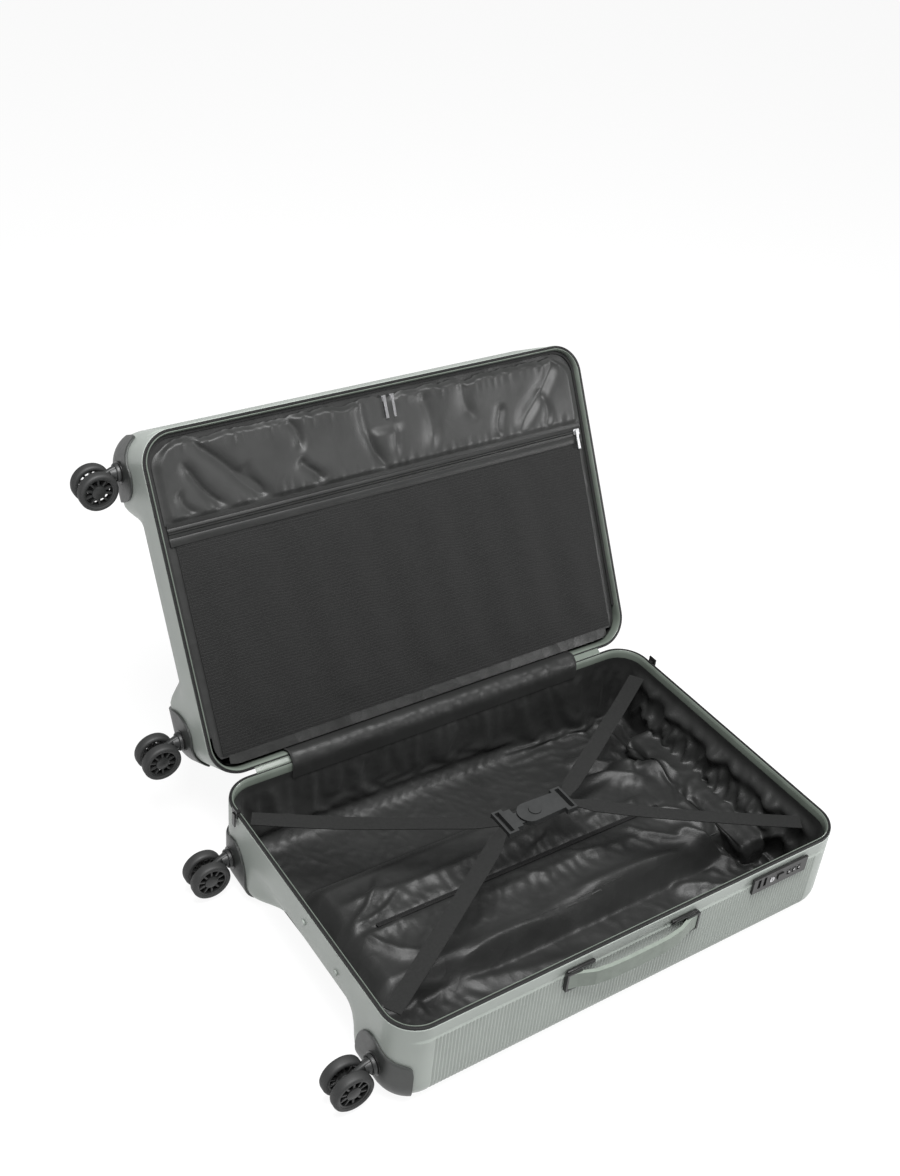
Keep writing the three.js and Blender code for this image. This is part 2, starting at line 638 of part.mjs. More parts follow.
function addDivider() {
  const { hem, deep, pocketLow, zipLow, zipHigh } = DIVIDER;
  const place = swingOpen;
  const half = LENGTH / 2 - hem;
  addNode("divider_panel", place(dividerPanel()), COLOURS.lining, 0.45);
  const front = deep - GAP;
  const pocket = lidPlate(-half + 10, half - 10, pocketLow, zipLow - GAP, front - 1.6, front);
  addNode("divider_mesh_pocket", place(pocket), COLOURS.mesh, 0.8);
  const zip = lidPlate(-half + 10, half - 10, zipLow, zipHigh, front - 1.2, front);
  addNode("divider_pocket_zip", place(zip), COLOURS.zip, 0.7);
  const zipFront = front - 1.2 - GAP;
  const s = (zipLow + zipHigh) / 2;
  const sliderX = LENGTH / 2 - 24;
  const body = lidPlate(sliderX - 5, sliderX + 5, s - 4, s + 4, zipFront - 3, zipFront);
  const pull = lidPlate(sliderX - 2.2, sliderX + 2.2, s - 26, s + 2, zipFront - 4.6, zipFront - 3);
  addNode("divider_pocket_slider", place(body.add(pull)), COLOURS.silver, 0.3, 0.9);
  addNode("divider_slider_wheel_end", place(dividerSlider(13)), COLOURS.silver, 0.3, 0.9);
  addNode("divider_slider_top_end", place(dividerSlider(26)), COLOURS.silver, 0.3, 0.9);
}

function addStuds() {
  const wall = -LENGTH / 2 - GAP;
  const stud = (y, z) => cylX(wall - 2.2, wall, y, z, 4, 16);
  addNode("end_stud_middle", stud(-9, 113), COLOURS.silver, 0.35, 0.6);
  addNode("end_stud_lock_side", stud(-89, 104), COLOURS.silver, 0.35, 0.6);
}

addBaseHalf();
addLidHalf();
addCaster("base_caster_lock", false, false);
addCaster("base_caster_hinge", false, true);
addCaster("lid_caster_lock", true, false);
addCaster("lid_caster_hinge", true, true);
addTrolley();
addHandles();
addLock();
addMainSliders();
addStraps();
addDivider();
addStuds();

export default group;
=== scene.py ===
"""Looks of the hard shell suitcase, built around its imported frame.

Shapes are worked out in millimetres in the frame's own axes and turned to metres as they become meshes:
+X from the wheel end to the handle end, +Y from the lock side to the hinge side, +Z up, origin on the
floor. Both halves are made lying on their backs; the lid's are then mirrored and swung about the hinge.
"""
import json
import math

import bmesh
import bpy
import numpy as np
from mathutils import Matrix, Vector, noise


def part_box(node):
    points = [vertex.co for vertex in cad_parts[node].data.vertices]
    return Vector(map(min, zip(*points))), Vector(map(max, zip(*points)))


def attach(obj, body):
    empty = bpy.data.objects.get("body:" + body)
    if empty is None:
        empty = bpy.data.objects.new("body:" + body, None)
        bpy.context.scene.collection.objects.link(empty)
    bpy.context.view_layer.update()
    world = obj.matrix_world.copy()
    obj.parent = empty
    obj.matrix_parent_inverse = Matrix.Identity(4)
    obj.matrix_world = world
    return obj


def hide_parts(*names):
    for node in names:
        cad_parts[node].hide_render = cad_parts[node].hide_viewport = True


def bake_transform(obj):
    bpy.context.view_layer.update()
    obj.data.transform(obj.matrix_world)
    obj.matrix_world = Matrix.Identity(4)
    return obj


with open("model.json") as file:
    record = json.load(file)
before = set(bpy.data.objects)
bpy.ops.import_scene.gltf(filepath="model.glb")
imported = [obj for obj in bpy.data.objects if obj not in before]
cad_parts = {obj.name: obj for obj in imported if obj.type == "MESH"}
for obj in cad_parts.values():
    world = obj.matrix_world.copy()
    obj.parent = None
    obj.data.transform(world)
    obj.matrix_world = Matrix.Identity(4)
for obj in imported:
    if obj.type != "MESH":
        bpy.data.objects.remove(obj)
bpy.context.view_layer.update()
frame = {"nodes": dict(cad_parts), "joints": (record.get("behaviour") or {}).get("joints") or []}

# ---- driving dimensions, in millimetres and degrees ----
MM = 0.001


def in_mm(corners):
    return [np.array(corner) / MM for corner in corners]


def joint_named(name):
    return next(j for j in frame["joints"] if j["name"] == name)


SHELL_LOW, SHELL_HIGH = in_mm(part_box("base_shell"))
LENGTH = SHELL_HIGH[0] - SHELL_LOW[0]
WIDTH = SHELL_HIGH[1] - SHELL_LOW[1]
LID_JOINT = joint_named("lid_hinge")
HINGE_Y = LID_JOINT["pos_m"][1] / MM
DEPTH = LID_JOINT["pos_m"][2] / MM
LID_OPEN = -LID_JOINT["range_deg"][0]
CORNER_R = 45
EDGE_R = 35
SHELL_TOP = DEPTH - 5
BAND_LOW = DEPTH - 28
LINING_TOP = DEPTH - 15
WALL = 2.6

RIB_PITCH = 5.05
RIB_DEPTH = 1.4
RIB_TOP = 112
RIB_SPAN = 303
RIB_SAMPLES = 6
COVE_DEPTH = 1.9
TAPER_TOP, TAPER_SLOPE, TAPER_FULL, TAPER_NONE = 88, 0.44, 100, 142

LINING_INSET = 5.5
TUBE_Y, TUBE_START, TUBE_TOP = 70, -262, 35
TRAY_X, TRAY_Y, TRAY_TOP = 291, 132, 46
TRAY_LOW, TRAY_HIGH, TRAY_HALF = 5.7, 42.3, 128.3
SEAM_X = (-236, 236)

STEM_TO_AXLE = (-38, 0, -14)
STRAP_WIDE, STRAP_END_WIDE, STRAP_THICK, STRAP_SAG = 23, 17, 1.2, 5.0
GUSSET_HALF, COVER_HALF, DIVIDER_HALF = 240, 292, 337

CASTERS = ("base_caster_lock", "base_caster_hinge", "lid_caster_lock", "lid_caster_hinge")


# ---- small mesh kit: a shape is a pair of points and faces, in millimetres ----
def smoothstep(value, low, high):
    share = np.clip((np.asarray(value, float) - low) / (high - low), 0, 1)
    return share * share * (3 - 2 * share)


def round_off(distance, radius):
    """How far a rounded corner draws back, at a distance from its edge."""
    below = np.clip(radius - distance, 0, radius)
    return radius - np.sqrt(radius**2 - below**2)


def grid_faces(rows, columns, wrap_columns=True, wrap_rows=False):
    faces = []
    for i in range(rows if wrap_rows else rows - 1):
        below = i * columns
        above = ((i + 1) % rows) * columns
        for j in range(columns if wrap_columns else columns - 1):
            k = (j + 1) % columns
            faces.append((below + j, below + k, above + k, above + j))
    return faces


def bar_faces(rows, columns):
    """Faces of a closed bar: its sides and its two ends."""
    ends = [tuple(reversed(range(columns))), tuple((rows - 1) * columns + k for k in range(columns))]
    return grid_faces(rows, columns) + ends


def flipped(faces):
    return [tuple(reversed(face)) for face in faces]


def combined(shapes):
    points, faces, first = [], [], 0
    for shape_points, shape_faces in shapes:
        points.append(np.asarray(shape_points, float))
        faces.extend(tuple(first + i for i in face) for face in shape_faces)
        first += len(shape_points)
    return np.concatenate(points), faces


def moved(shape, offset):
    return np.asarray(shape[0], float) + np.asarray(offset, float), shape[1]


def mirrored_y(shape):
    return np.asarray(shape[0], float) * [1, -1, 1], flipped(shape[1])


def lathe(profile, steps=48, axis="y"):
    """Closed profile of radius and height pairs, turned about an axis through the origin."""
    turns = 2 * math.pi * np.arange(steps) / steps
    points = []
    for radius, height in profile:
        a, b, c = radius * np.cos(turns), radius * np.sin(turns), np.full(steps, height)
        points.append(np.stack({"x": (c, a, b), "y": (b, c, a), "z": (a, b, c)}[axis], axis=1))
    return np.concatenate(points), grid_faces(len(profile), steps, wrap_rows=True)


def rounded_box(centre, size, radius, segments=3):
    bm = bmesh.new()
    bmesh.ops.create_cube(bm, size=1)
    bmesh.ops.scale(bm, vec=Vector(size), verts=bm.verts)
    bmesh.ops.bevel(bm, geom=bm.edges[:], offset=radius, segments=segments, profile=0.5, affect="EDGES")
    bmesh.ops.translate(bm, vec=Vector(centre), verts=bm.verts)
    bm.verts.index_update()
    shape = np.array([v.co for v in bm.verts]), [tuple(v.index for v in f.verts) for f in bm.faces]
    bm.free()
    return shape


def turned(shape, angle, axis):
    turn = np.array(Matrix.Rotation(math.radians(angle), 3, axis))
    return np.asarray(shape[0], float) @ turn.T, shape[1]


def to_lid(shape):
    """From the base half's place to the open lid's: mirrored top to bottom, then swung about the hinge."""
    x, y, z = np.asarray(shape[0], float).T
    reach, deep = HINGE_Y - y, DEPTH - z
    a = math.radians(LID_OPEN)
    y = HINGE_Y - reach * math.cos(a) + deep * math.sin(a)
    z = DEPTH + reach * math.sin(a) + deep * math.cos(a)
    return np.stack([x, y, z], axis=1), flipped(shape[1])


def resampled(line, count):
    """Both coordinates of a line of points, at more places along it."""
    line = np.array(line)
    along = np.linspace(0, len(line) - 1, count)
    return [np.interp(along, range(len(line)), line[:, k]) for k in (0, 1)]


def drift(u, v=0.0, w=0.0):
    """Smooth noise at each place."""
    return np.array([noise.noise(Vector(place)) for place in zip(*np.broadcast_arrays(u, v, w))])


def crease(obj, degrees):
    """Smooth shading, with sharp edges where the surface turns by more than the angle."""
    bm = bmesh.new()
    bm.from_mesh(obj.data)
    for face in bm.faces:
        face.smooth = True
    limit = math.radians(degrees)
    for edge in bm.edges:
        edge.smooth = len(edge.link_faces) == 2 and edge.calc_face_angle(0) < limit
    bm.to_mesh(obj.data)
    bm.free()


def placed(name, data):
    obj = bpy.data.objects.new(name, data)
    bpy.context.scene.collection.objects.link(obj)
    return obj


def as_seen(obj):
    """A new mesh of the object as it stands, with its modifiers."""
    graph = bpy.context.evaluated_depsgraph_get()
    return bpy.data.meshes.new_from_object(obj.evaluated_get(graph))


def piece(name, shape, material, body=None, replaces=(), sharp=35):
    """A piece from a shape, with its material, its body and the frame nodes that it stands for."""
    data = bpy.data.meshes.new(name)
    data.from_pydata((np.asarray(shape[0], float) * MM).tolist(), [], shape[1])
    data.update()
    obj = placed(name, data)
    obj.data.materials.append(material)
    crease(obj, sharp)
    if body:
        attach(obj, body)
    if replaces:
        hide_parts(*replaces)
    return obj


# ---- materials ----
class Nodes:
    """Short ways to add and join shader nodes in one material."""

    def __init__(self, name, colour, roughness, **values):
        self.material = bpy.data.materials.new(name)
        self.material.use_nodes = True
        self.tree = self.material.node_tree
        self.shader = self.tree.nodes["Principled BSDF"]
        self.shader.inputs["Base Color"].default_value = (*colour, 1)
        self.shader.inputs["Roughness"].default_value = roughness
        for socket, value in values.items():
            title = socket.replace("_", " ").title().replace("Ior", "IOR")
            self.shader.inputs[title].default_value = value
        self.place = self.tree.nodes.new("ShaderNodeTexCoord").outputs["Object"]
        self.normal = None

    def add(self, kind, inputs=None, **settings):
        node = self.tree.nodes.new(kind)
        for key, value in settings.items():
            setattr(node, key, value)
        for key, value in (inputs or {}).items():
            if isinstance(value, bpy.types.NodeSocket):
                self.tree.links.new(value, node.inputs[key])
            else:
                node.inputs[key].default_value = value
        return node

    def noise(self, scale, detail):
        inputs = {"Vector": self.place, "Scale": scale, "Detail": detail}
        return self.add("ShaderNodeTexNoise", inputs).outputs["Fac"]

    def wave(self, scale, direction, vector=None):
        inputs = {"Vector": vector or self.place, "Scale": scale, "Detail": 0}
        settings = {"bands_direction": direction, "wave_profile": "SIN"}
        return self.add("ShaderNodeTexWave", inputs, **settings).outputs["Fac"]

    def ramp(self, value, low, high):
        inputs = {"Value": value, "From Min": low, "From Max": high}
        return self.add("ShaderNodeMapRange", inputs).outputs["Result"]

    def bump(self, height, distance, strength=1.0):
        inputs = {"Height": height, "Distance": distance, "Strength": strength}
        if self.normal:
            inputs["Normal"] = self.normal
        self.normal = self.add("ShaderNodeBump", inputs).outputs["Normal"]
        self.tree.links.new(self.normal, self.shader.inputs["Normal"])

    def vary_colour(self, share, other):
        """Mixes the colour towards another by a share that changes over the surface."""
        mix = self.add("ShaderNodeMix", {"Factor": share}, data_type="RGBA")
        mix.inputs[6].default_value = self.shader.inputs["Base Color"].default_value
        mix.inputs[7].default_value = (*other, 1)
        self.tree.links.new(mix.outputs[2], self.shader.inputs["Base Color"])

    def mottle(self, scale, detail, low, high, other):
        """Mixes the colour towards another in soft patches."""
        self.vary_colour(self.ramp(self.noise(scale, detail), low, high), other)

    def vary_roughness(self, scale, detail, low, high):
        inputs = {"Value": self.noise(scale, detail), "To Min": low, "To Max": high}
        spread = self.add("ShaderNodeMapRange", inputs)
        self.tree.links.new(spread.outputs["Result"], self.shader.inputs["Roughness"])


def shell_material():
    """Semi-matte moulded sheet: fine grain, faint clouding and a few rubbed patches."""
    gloss = {"specular_ior_level": 0.45, "coat_weight": 0.12, "coat_roughness": 0.25}
    m = Nodes("sage_shell", (0.300, 0.328, 0.304), 0.42, **gloss)
    m.mottle(9, 4, 0.35, 0.75, (0.262, 0.288, 0.266))
    m.vary_roughness(34, 5, 0.36, 0.5)
    m.bump(m.noise(2600, 3), 0.00012, 0.5)
    m.bump(m.noise(60, 2), 0.0004, 0.12)
    return m.material


def band_material():
    """Satin rim band."""
    gloss = {"specular_ior_level": 0.55, "coat_weight": 0.3, "coat_roughness": 0.2}
    m = Nodes("sage_band", (0.125, 0.145, 0.125), 0.28, **gloss)
    m.mottle(22, 4, 0.4, 0.8, (0.092, 0.108, 0.092))
    m.vary_roughness(120, 4, 0.24, 0.4)
    m.bump(m.noise(1500, 2), 0.0001, 0.4)
    return m.material


def grip_material():
    m = Nodes("soft_grip", (0.17, 0.195, 0.17), 0.55, specular_ior_level=0.4)
    m.mottle(80, 4, 0.4, 0.8, (0.14, 0.16, 0.14))
    m.bump(m.noise(1800, 3), 0.0002, 0.6)
    return m.material


def crumple(m, scale, height, strength):
    """Straight-edged creases such as thin nylon takes, in cells of uneven size."""
    clouds = m.add("ShaderNodeTexNoise", {"Vector": m.place, "Scale": scale * 0.6, "Detail": 3})
    bend = {0: clouds.outputs["Color"], 1: (0.7 / scale,) * 3, 2: m.place}
    bent = m.add("ShaderNodeVectorMath", bend, operation="MULTIPLY_ADD").outputs[0]
    cells = m.add("ShaderNodeTexVoronoi", {"Vector": bent, "Scale": scale}).outputs["Distance"]
    m.bump(cells, height, strength)


def satin_material(name="satin_lining", colour=(0.015, 0.0153, 0.015), creased=1.0):
    """Thin nylon satin: dark, with a soft sheen, a fine twill and small creases."""
    m = Nodes(name, colour, 0.42, specular_ior_level=0.3, sheen_weight=0.03, sheen_roughness=0.4)
    m.shader.inputs["Sheen Tint"].default_value = (0.8, 0.82, 0.8, 1)
    m.mottle(14, 4, 0.35, 0.8, tuple(c * 1.4 for c in colour))
    m.vary_roughness(40, 5, 0.34, 0.52)
    twill = m.add("ShaderNodeMapping", {"Vector": m.place, "Rotation": (0.6, 0.4, math.radians(45))})
    m.bump(m.wave(700, "X", twill.outputs["Vector"]), 0.00008, 0.4)
    crumple(m, 13, 0.007 * creased, 0.4)
    crumple(m, 42, 0.0026 * creased, 0.4)
    m.bump(m.noise(420, 3), 0.0005 * creased, 0.3)
    return m.material


def mesh_material():
    """Knitted mesh over a dark panel: a grid of small dark holes between lighter threads."""
    m = Nodes("knitted_mesh", (0.019, 0.0195, 0.019), 0.6, specular_ior_level=0.12, sheen_weight=0.02)
    holes = m.add("ShaderNodeTexVoronoi", {"Vector": m.place, "Scale": 520, "Randomness": 0.35})
    cells = holes.outputs["Distance"]
    m.vary_colour(m.ramp(cells, 0.15, 0.55), (0.009, 0.009, 0.009))
    m.bump(m.ramp(cells, 0.0, 0.6), 0.0006, 0.8)
    m.bump(m.noise(30, 4), 0.003, 0.3)
    return m.material


def webbing_material():
    """Flat woven strap with cross ribs."""
    m = Nodes("strap_webbing", (0.013, 0.0133, 0.013), 0.8, specular_ior_level=0.15, sheen_weight=0.01)
    m.bump(m.wave(290, "X"), 0.0003, 0.5)
    m.bump(m.wave(420, "Y"), 0.0002, 0.7)
    m.mottle(300, 3, 0.3, 0.8, (0.018, 0.0183, 0.018))
    return m.material


def tape_material():
    m = Nodes("zip_tape", (0.006, 0.006, 0.006), 0.7, specular_ior_level=0.3, sheen_weight=0.05)
    m.mottle(400, 3, 0.3, 0.8, (0.014, 0.014, 0.014))
    m.bump(m.wave(500, "DIAGONAL"), 0.00015, 0.7)
    return m.material


def moulded_material(name, colour, roughness, grain=900):
    """Moulded plastic with a fine spark-eroded grain."""
    m = Nodes(name, colour, roughness, specular_ior_level=0.45)
    m.mottle(60, 4, 0.4, 0.8, tuple(0.8 * c for c in colour))
    m.vary_roughness(200, 4, roughness - 0.07, roughness + 0.1)
    m.bump(m.noise(grain, 3), 0.00015, 0.5)
    return m.material


def metal_material(name, colour, roughness):
    m = Nodes(name, colour, roughness, metallic=1.0)
    m.vary_roughness(300, 4, roughness - 0.06, roughness + 0.12)
    m.bump(m.noise(800, 2), 0.00005, 0.4)
    return m.material


SHELL = shell_material()
BAND = band_material()
GRIP = grip_material()
SATIN = satin_material()
KNIT = mesh_material()
HEM = satin_material("satin_hem", (0.011, 0.0113, 0.011), 0.15)
GUSSET = satin_material("satin_gusset", (0.014, 0.0143, 0.014), 0.25)
STRIP = satin_material("satin_strip", (0.021, 0.0214, 0.021), 0.35)
WEBBING = webbing_material()
TAPE = tape_material()
PLASTIC = moulded_material("grey_plastic", (0.028, 0.029, 0.029), 0.42)
HOUSING = moulded_material("housing_plastic", (0.040, 0.043, 0.041), 0.4)
TYRE = moulded_material("tyre_rubber", (0.022, 0.0225, 0.0225), 0.6, 1500)
HUB = moulded_material("hub_plastic", (0.016, 0.0165, 0.0165), 0.36)
BLACK = moulded_material("black_plastic", (0.012, 0.012, 0.012), 0.32, 1400)
DIGIT = moulded_material("white_print", (0.75, 0.75, 0.75), 0.5)
SILVER = metal_material("polished_silver", (0.5, 0.5, 0.51), 0.3)
TUBE = metal_material("anodised_tube", (0.42, 0.43, 0.44), 0.34)


# ---- outline of the case ----
class Columns:
    """Stations round the outline, counter-clockwise from the +X +Y corner: a point on it and its normal."""

    def __init__(self, long_steps=60, end_steps=48, corner_steps=12):
        half = np.array([LENGTH / 2, WIDTH / 2])
        base, normal, self.corner_start = [], [], []
        self.corner_steps = corner_steps
        for k in range(4):
            sign = np.array([1 if k in (0, 3) else -1, 1 if k < 2 else -1])
            centre = sign * (half - CORNER_R)
            self.corner_start.append(len(base))
            for i in range(corner_steps + 1):
                a = math.radians(90 * k + 90 * i / corner_steps)
                normal.append(np.array([math.cos(a), math.sin(a)]))
                base.append(centre + CORNER_R * normal[-1])
            steps = end_steps if k % 2 else long_steps
            span = 2 * (half[k % 2] - CORNER_R)
            along = np.array([-normal[-1][1], normal[-1][0]])
            start, last = base[-1], normal[-1]
            for i in range(1, steps):
                base.append(start + along * span * i / steps)
                normal.append(last)
        self.base, self.normal = np.array(base), np.array(normal)
        self.count = len(base)
        self.on_long = smoothstep(np.abs(self.normal[:, 1]), 0.80, 0.995)
        x = self.base[:, 0]
        straight = (np.abs(self.normal[:, 1]) > 0.9999) & (np.abs(x) < RIB_SPAN)
        self.valley = np.where(straight, 0.5 - 0.5 * np.cos(2 * math.pi * x / RIB_PITCH), 0) ** 1.3

    def ring(self, inset, z):
        """The outline drawn in by inset at height z; either may change from station to station."""
        inset = np.broadcast_to(np.asarray(inset, float), self.count)
        z = np.broadcast_to(np.asarray(z, float), self.count)
        xy = self.base - self.normal * inset[:, None]
        wheel_end = self.normal[:, 0] < -0.9999
        share = 1 - smoothstep(np.abs(xy[:, 1]), TAPER_FULL, TAPER_NONE)
        x = xy[:, 0] + np.where(wheel_end, share * taper_shift(z), 0)
        return np.stack([x, xy[:, 1], z], axis=1)

    def edge_ring(self, radius, degrees):
        """The outline on the rounded edge between the walls and the big face."""
        a = math.radians(degrees)
        return self.ring(EDGE_R - radius * math.cos(a), EDGE_R - radius * math.sin(a))


def taper_shift(z):
    """Further inset of the wheel-end wall between its casters, where it leans in."""
    return np.maximum(TAPER_SLOPE * (TAPER_TOP - z) - round_off(z, EDGE_R), 0)


def sweep(profile, columns):
    """A closed profile of inset and height pairs, run round the outline."""
    points = np.concatenate([columns.ring(inset, z) for inset, z in profile])
    return points, grid_faces(len(profile), columns.count, wrap_rows=True)


def face_faces(columns, first):
    """Closes the last ring over the big face: a strip per station, and a flat end past each corner."""
    start, steps, count = columns.corner_start, columns.corner_steps, columns.count
    hinge = range(first + start[0] + steps, first + start[1])
    lock = range(first + start[3], first + start[2] + steps, -1)
    faces = [(a, a + 1, b - 1, b) for a, b in zip(hinge, lock)]
    faces.append(tuple(first + i for i in range(start[1], start[2] + steps + 1)))
    top_end = (*range(start[3], count), *range(start[0] + steps + 1))
    faces.append(tuple(first + i for i in top_end))
    return faces


# ---- half shells ----
def shell_shape():
    """Ribbed half shell with a cove under its rim on the long walls, as a closed skin."""
    long_steps = int(RIB_SAMPLES * (LENGTH - 2 * CORNER_R) / RIB_PITCH)
    columns = Columns(long_steps, end_steps=60, corner_steps=18)
    rings = [columns.ring(inset, SHELL_TOP - down) for inset, down in ((0.5, 0), (0, 0.5), (0, 1.8))]
    heights = (132.3, 131.2, 124, 116.5, 114.8, 113.8, 112.9, 112, 111.1, 110.2, 109, 104, TAPER_TOP)
    for z in (*heights, 70, 52, EDGE_R):
        under_rim = np.clip((SHELL_TOP - 2.4 - z) / 15, 0, 1)
        cove = COVE_DEPTH * under_rim * smoothstep(z, RIB_TOP - 1, RIB_TOP + 2.6)
        rib = RIB_DEPTH * (1 - smoothstep(z, RIB_TOP - 3, RIB_TOP + 1))
        rings.append(columns.ring(cove * columns.on_long + rib * columns.valley, z))
    radius = EDGE_R - RIB_DEPTH * columns.valley
    rings += [columns.edge_ring(radius, degrees) for degrees in range(10, 100, 10)]
    outer = len(rings)
    rings += [columns.edge_ring(EDGE_R - WALL, degrees) for degrees in range(90, -1, -18)]
    rings += [columns.ring(WALL, TAPER_TOP), columns.ring(WALL, SHELL_TOP)]
    up = grid_faces(len(rings) - outer, columns.count)
    faces = flipped(grid_faces(outer, columns.count))
    faces += flipped([outer * columns.count + i for i in f] for f in up)
    last = (len(rings) - 1) * columns.count
    lip = [(i, (i + 1) % columns.count) for i in range(columns.count)]
    faces += [(a, b, last + b, last + a) for a, b in lip]
    faces += flipped(face_faces(columns, (outer - 1) * columns.count))
    faces += face_faces(columns, outer * columns.count)
    return np.concatenate(rings), faces


def cut(obj, shapes):
    """Cuts the shapes out of a piece."""
    for i, shape in enumerate(shapes):
        cutter = piece(f"cutter_{i}", shape, SHELL)
        reshape(obj, "BOOLEAN", operation="DIFFERENCE", solver="EXACT", object=cutter)
        bpy.data.objects.remove(cutter)


def apply_modifiers(obj):
    old, obj.data = obj.data, as_seen(obj)
    bpy.data.meshes.remove(old)
    obj.modifiers.clear()


def reshape(obj, kind, **settings):
    """Adds a modifier of this kind to a piece and applies it."""
    modifier = obj.modifiers.new("step", kind)
    for key, value in settings.items():
        setattr(modifier, key, value)
    apply_modifiers(obj)


def solidify(obj, thick):
    reshape(obj, "SOLIDIFY", thickness=thick * MM, offset=0)
    crease(obj, 60)


def make_shells():
    shape = shell_shape()
    base = piece("ribbed_base_shell", shape, SHELL, sharp=50)
    tray_size = (140, 2 * TRAY_HALF, TRAY_HIGH - TRAY_LOW)
    tray = rounded_box((LENGTH / 2, 0, (TRAY_LOW + TRAY_HIGH) / 2), tray_size, 2)
    low, high = in_mm(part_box("lock_plate"))
    window = ((low[0] + high[0]) / 2 + 24, low[1] + 5, (low[2] + high[2]) / 2)
    cut(base, [tray, rounded_box(window, (31, 14, 10.5), 1)])
    crease(base, 50)
    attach(base, "base")
    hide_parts("base_shell")
    piece("ribbed_lid_shell", to_lid(shape), SHELL, "lid", ["lid_shell"], sharp=50)


# ---- rim: zip, teeth and band ----
def ridge(centre_inset, top, radius, steps=5):
    """Rounded top between two feet, as inset and height pairs from the outer foot to the inner one."""
    angles = [math.pi * i / steps for i in range(steps + 1)]
    return [(centre_inset - radius * math.cos(a), top - radius + radius * math.sin(a)) for a in angles]


def zip_profile():
    """Woven tape with a piping ridge outside, a groove, and the coil's ridge inside."""
    top = DEPTH - 1.2
    foot = SHELL_TOP + 0.3
    ridges = ridge(1.35, top, 0.85) + ridge(3.25, top - 0.2, 0.65)
    return [(0.55, foot), (0.5, foot + 1.2), *ridges, (3.95, foot)]


def tooth_shapes():
    """Coil teeth standing on the zip's inner ridge, all the way round."""
    pitch, long, wide, tall = 2.4, 1.3, 1.5, 0.55
    line = Columns(long_steps=8, end_steps=6, corner_steps=10).ring(2.55, DEPTH - 1.75)
    closed = np.vstack([line, line[:1]])
    steps = np.linalg.norm(np.diff(closed, axis=0), axis=1)
    travelled = np.concatenate([[0], np.cumsum(steps)])
    shapes = []
    for s in np.arange(0, travelled[-1], pitch):
        i = min(np.searchsorted(travelled, s, side="right") - 1, len(steps) - 1)
        along = (closed[i + 1] - closed[i]) / steps[i]
        across = np.array([-along[1], along[0], 0])
        centre = closed[i] + along * (s - travelled[i])
        corners = []
        for z in (0, tall):
            for u, v in ((-1, -1), (1, -1), (1, 1), (-1, 1)):
                corners.append(centre + along * u * long / 2 + across * v * wide / 2 + [0, 0, z])
        shapes.append((np.array(corners), bar_faces(2, 4)))
    return combined(shapes)


def band_profile():
    """Rim band: a bead along its top edge and a rolled lower edge."""
    down = ((4.3, 2.6), (4.35, 1.9), (4.7, 1.55), (5.2, 1.55), (5.6, 1.9), (5.8, 2.6), (6.7, 4.2), (7, 5.5))
    up = ((7, 1.5), (6.4, 0.2), (5.2, 0), (4.3, 0.4))
    return [(inset, DEPTH - z) for inset, z in down] + [(inset, BAND_LOW + z) for inset, z in up]


def make_rims():
    columns = Columns(long_steps=60, end_steps=40, corner_steps=20)
    tape, teeth, band = sweep(zip_profile(), columns), tooth_shapes(), sweep(band_profile(), columns)
    tape, band = ((points, flipped(faces)) for points, faces in (tape, band))
    for half, place in (("base", lambda s: s), ("lid", to_lid)):
        piece(f"{half}_zip", place(tape), TAPE, half, [f"{half}_zip_tape"])
        piece(f"{half}_zip_teeth", place(teeth), BLACK, half)
        piece(f"{half}_rim", place(band), BAND, half, [f"{half}_rim_band"], sharp=40)


# ---- linings ----
def cup_shape(inset, top):
    """Closed inner volume of a half, with flat floor and top."""
    columns = Columns(long_steps=10, end_steps=16, corner_steps=8)
    rings = [columns.ring(inset, z) for z in (top, TAPER_TOP, EDGE_R)]
    rings += [columns.edge_ring(EDGE_R - inset, degrees) for degrees in (22.5, 45, 67.5, 90)]
    n = columns.count
    return np.concatenate(rings), flipped(bar_faces(len(rings), n))


def hump_shapes(grow):
    """What the lining lies over: the trolley's two tubes as one low platform, and its recess."""
    tubes = (TRAY_X - TUBE_START + 20, 2 * (TUBE_Y + 14 + grow), 2 * (TUBE_TOP + grow))
    over_tubes = rounded_box(((TRAY_X + TUBE_START + 20) / 2, 0, 0), tubes, 24, 6)
    recess = (2 * (LENGTH / 2 - TRAY_X + grow), 2 * (TRAY_Y + grow), 2 * (TRAY_TOP + grow))
    return [over_tubes, rounded_box((LENGTH / 2, 0, 0), recess, 10, 4)]


def inner_volume(name, inset, grow, with_humps):
    volume = piece(name, cup_shape(inset, LINING_TOP + 8), SATIN)
    if with_humps:
        cut(volume, hump_shapes(grow))
    return volume


def fine_cup(name, inset, voxel, with_humps):
    """Open cup of even quads, from the inner volume."""
    cup = inner_volume(name, inset, 2.5, with_humps)
    reshape(cup, "REMESH", mode="VOXEL", voxel_size=voxel * MM)
    bm = bmesh.new()
    bm.from_mesh(cup.data)
    lid_faces = [f for f in bm.faces if f.calc_center_median().z > (LINING_TOP - 0.3) * MM]
    bmesh.ops.delete(bm, geom=lid_faces, context="FACES")
    bm.to_mesh(cup.data)
    bm.free()
    return cup


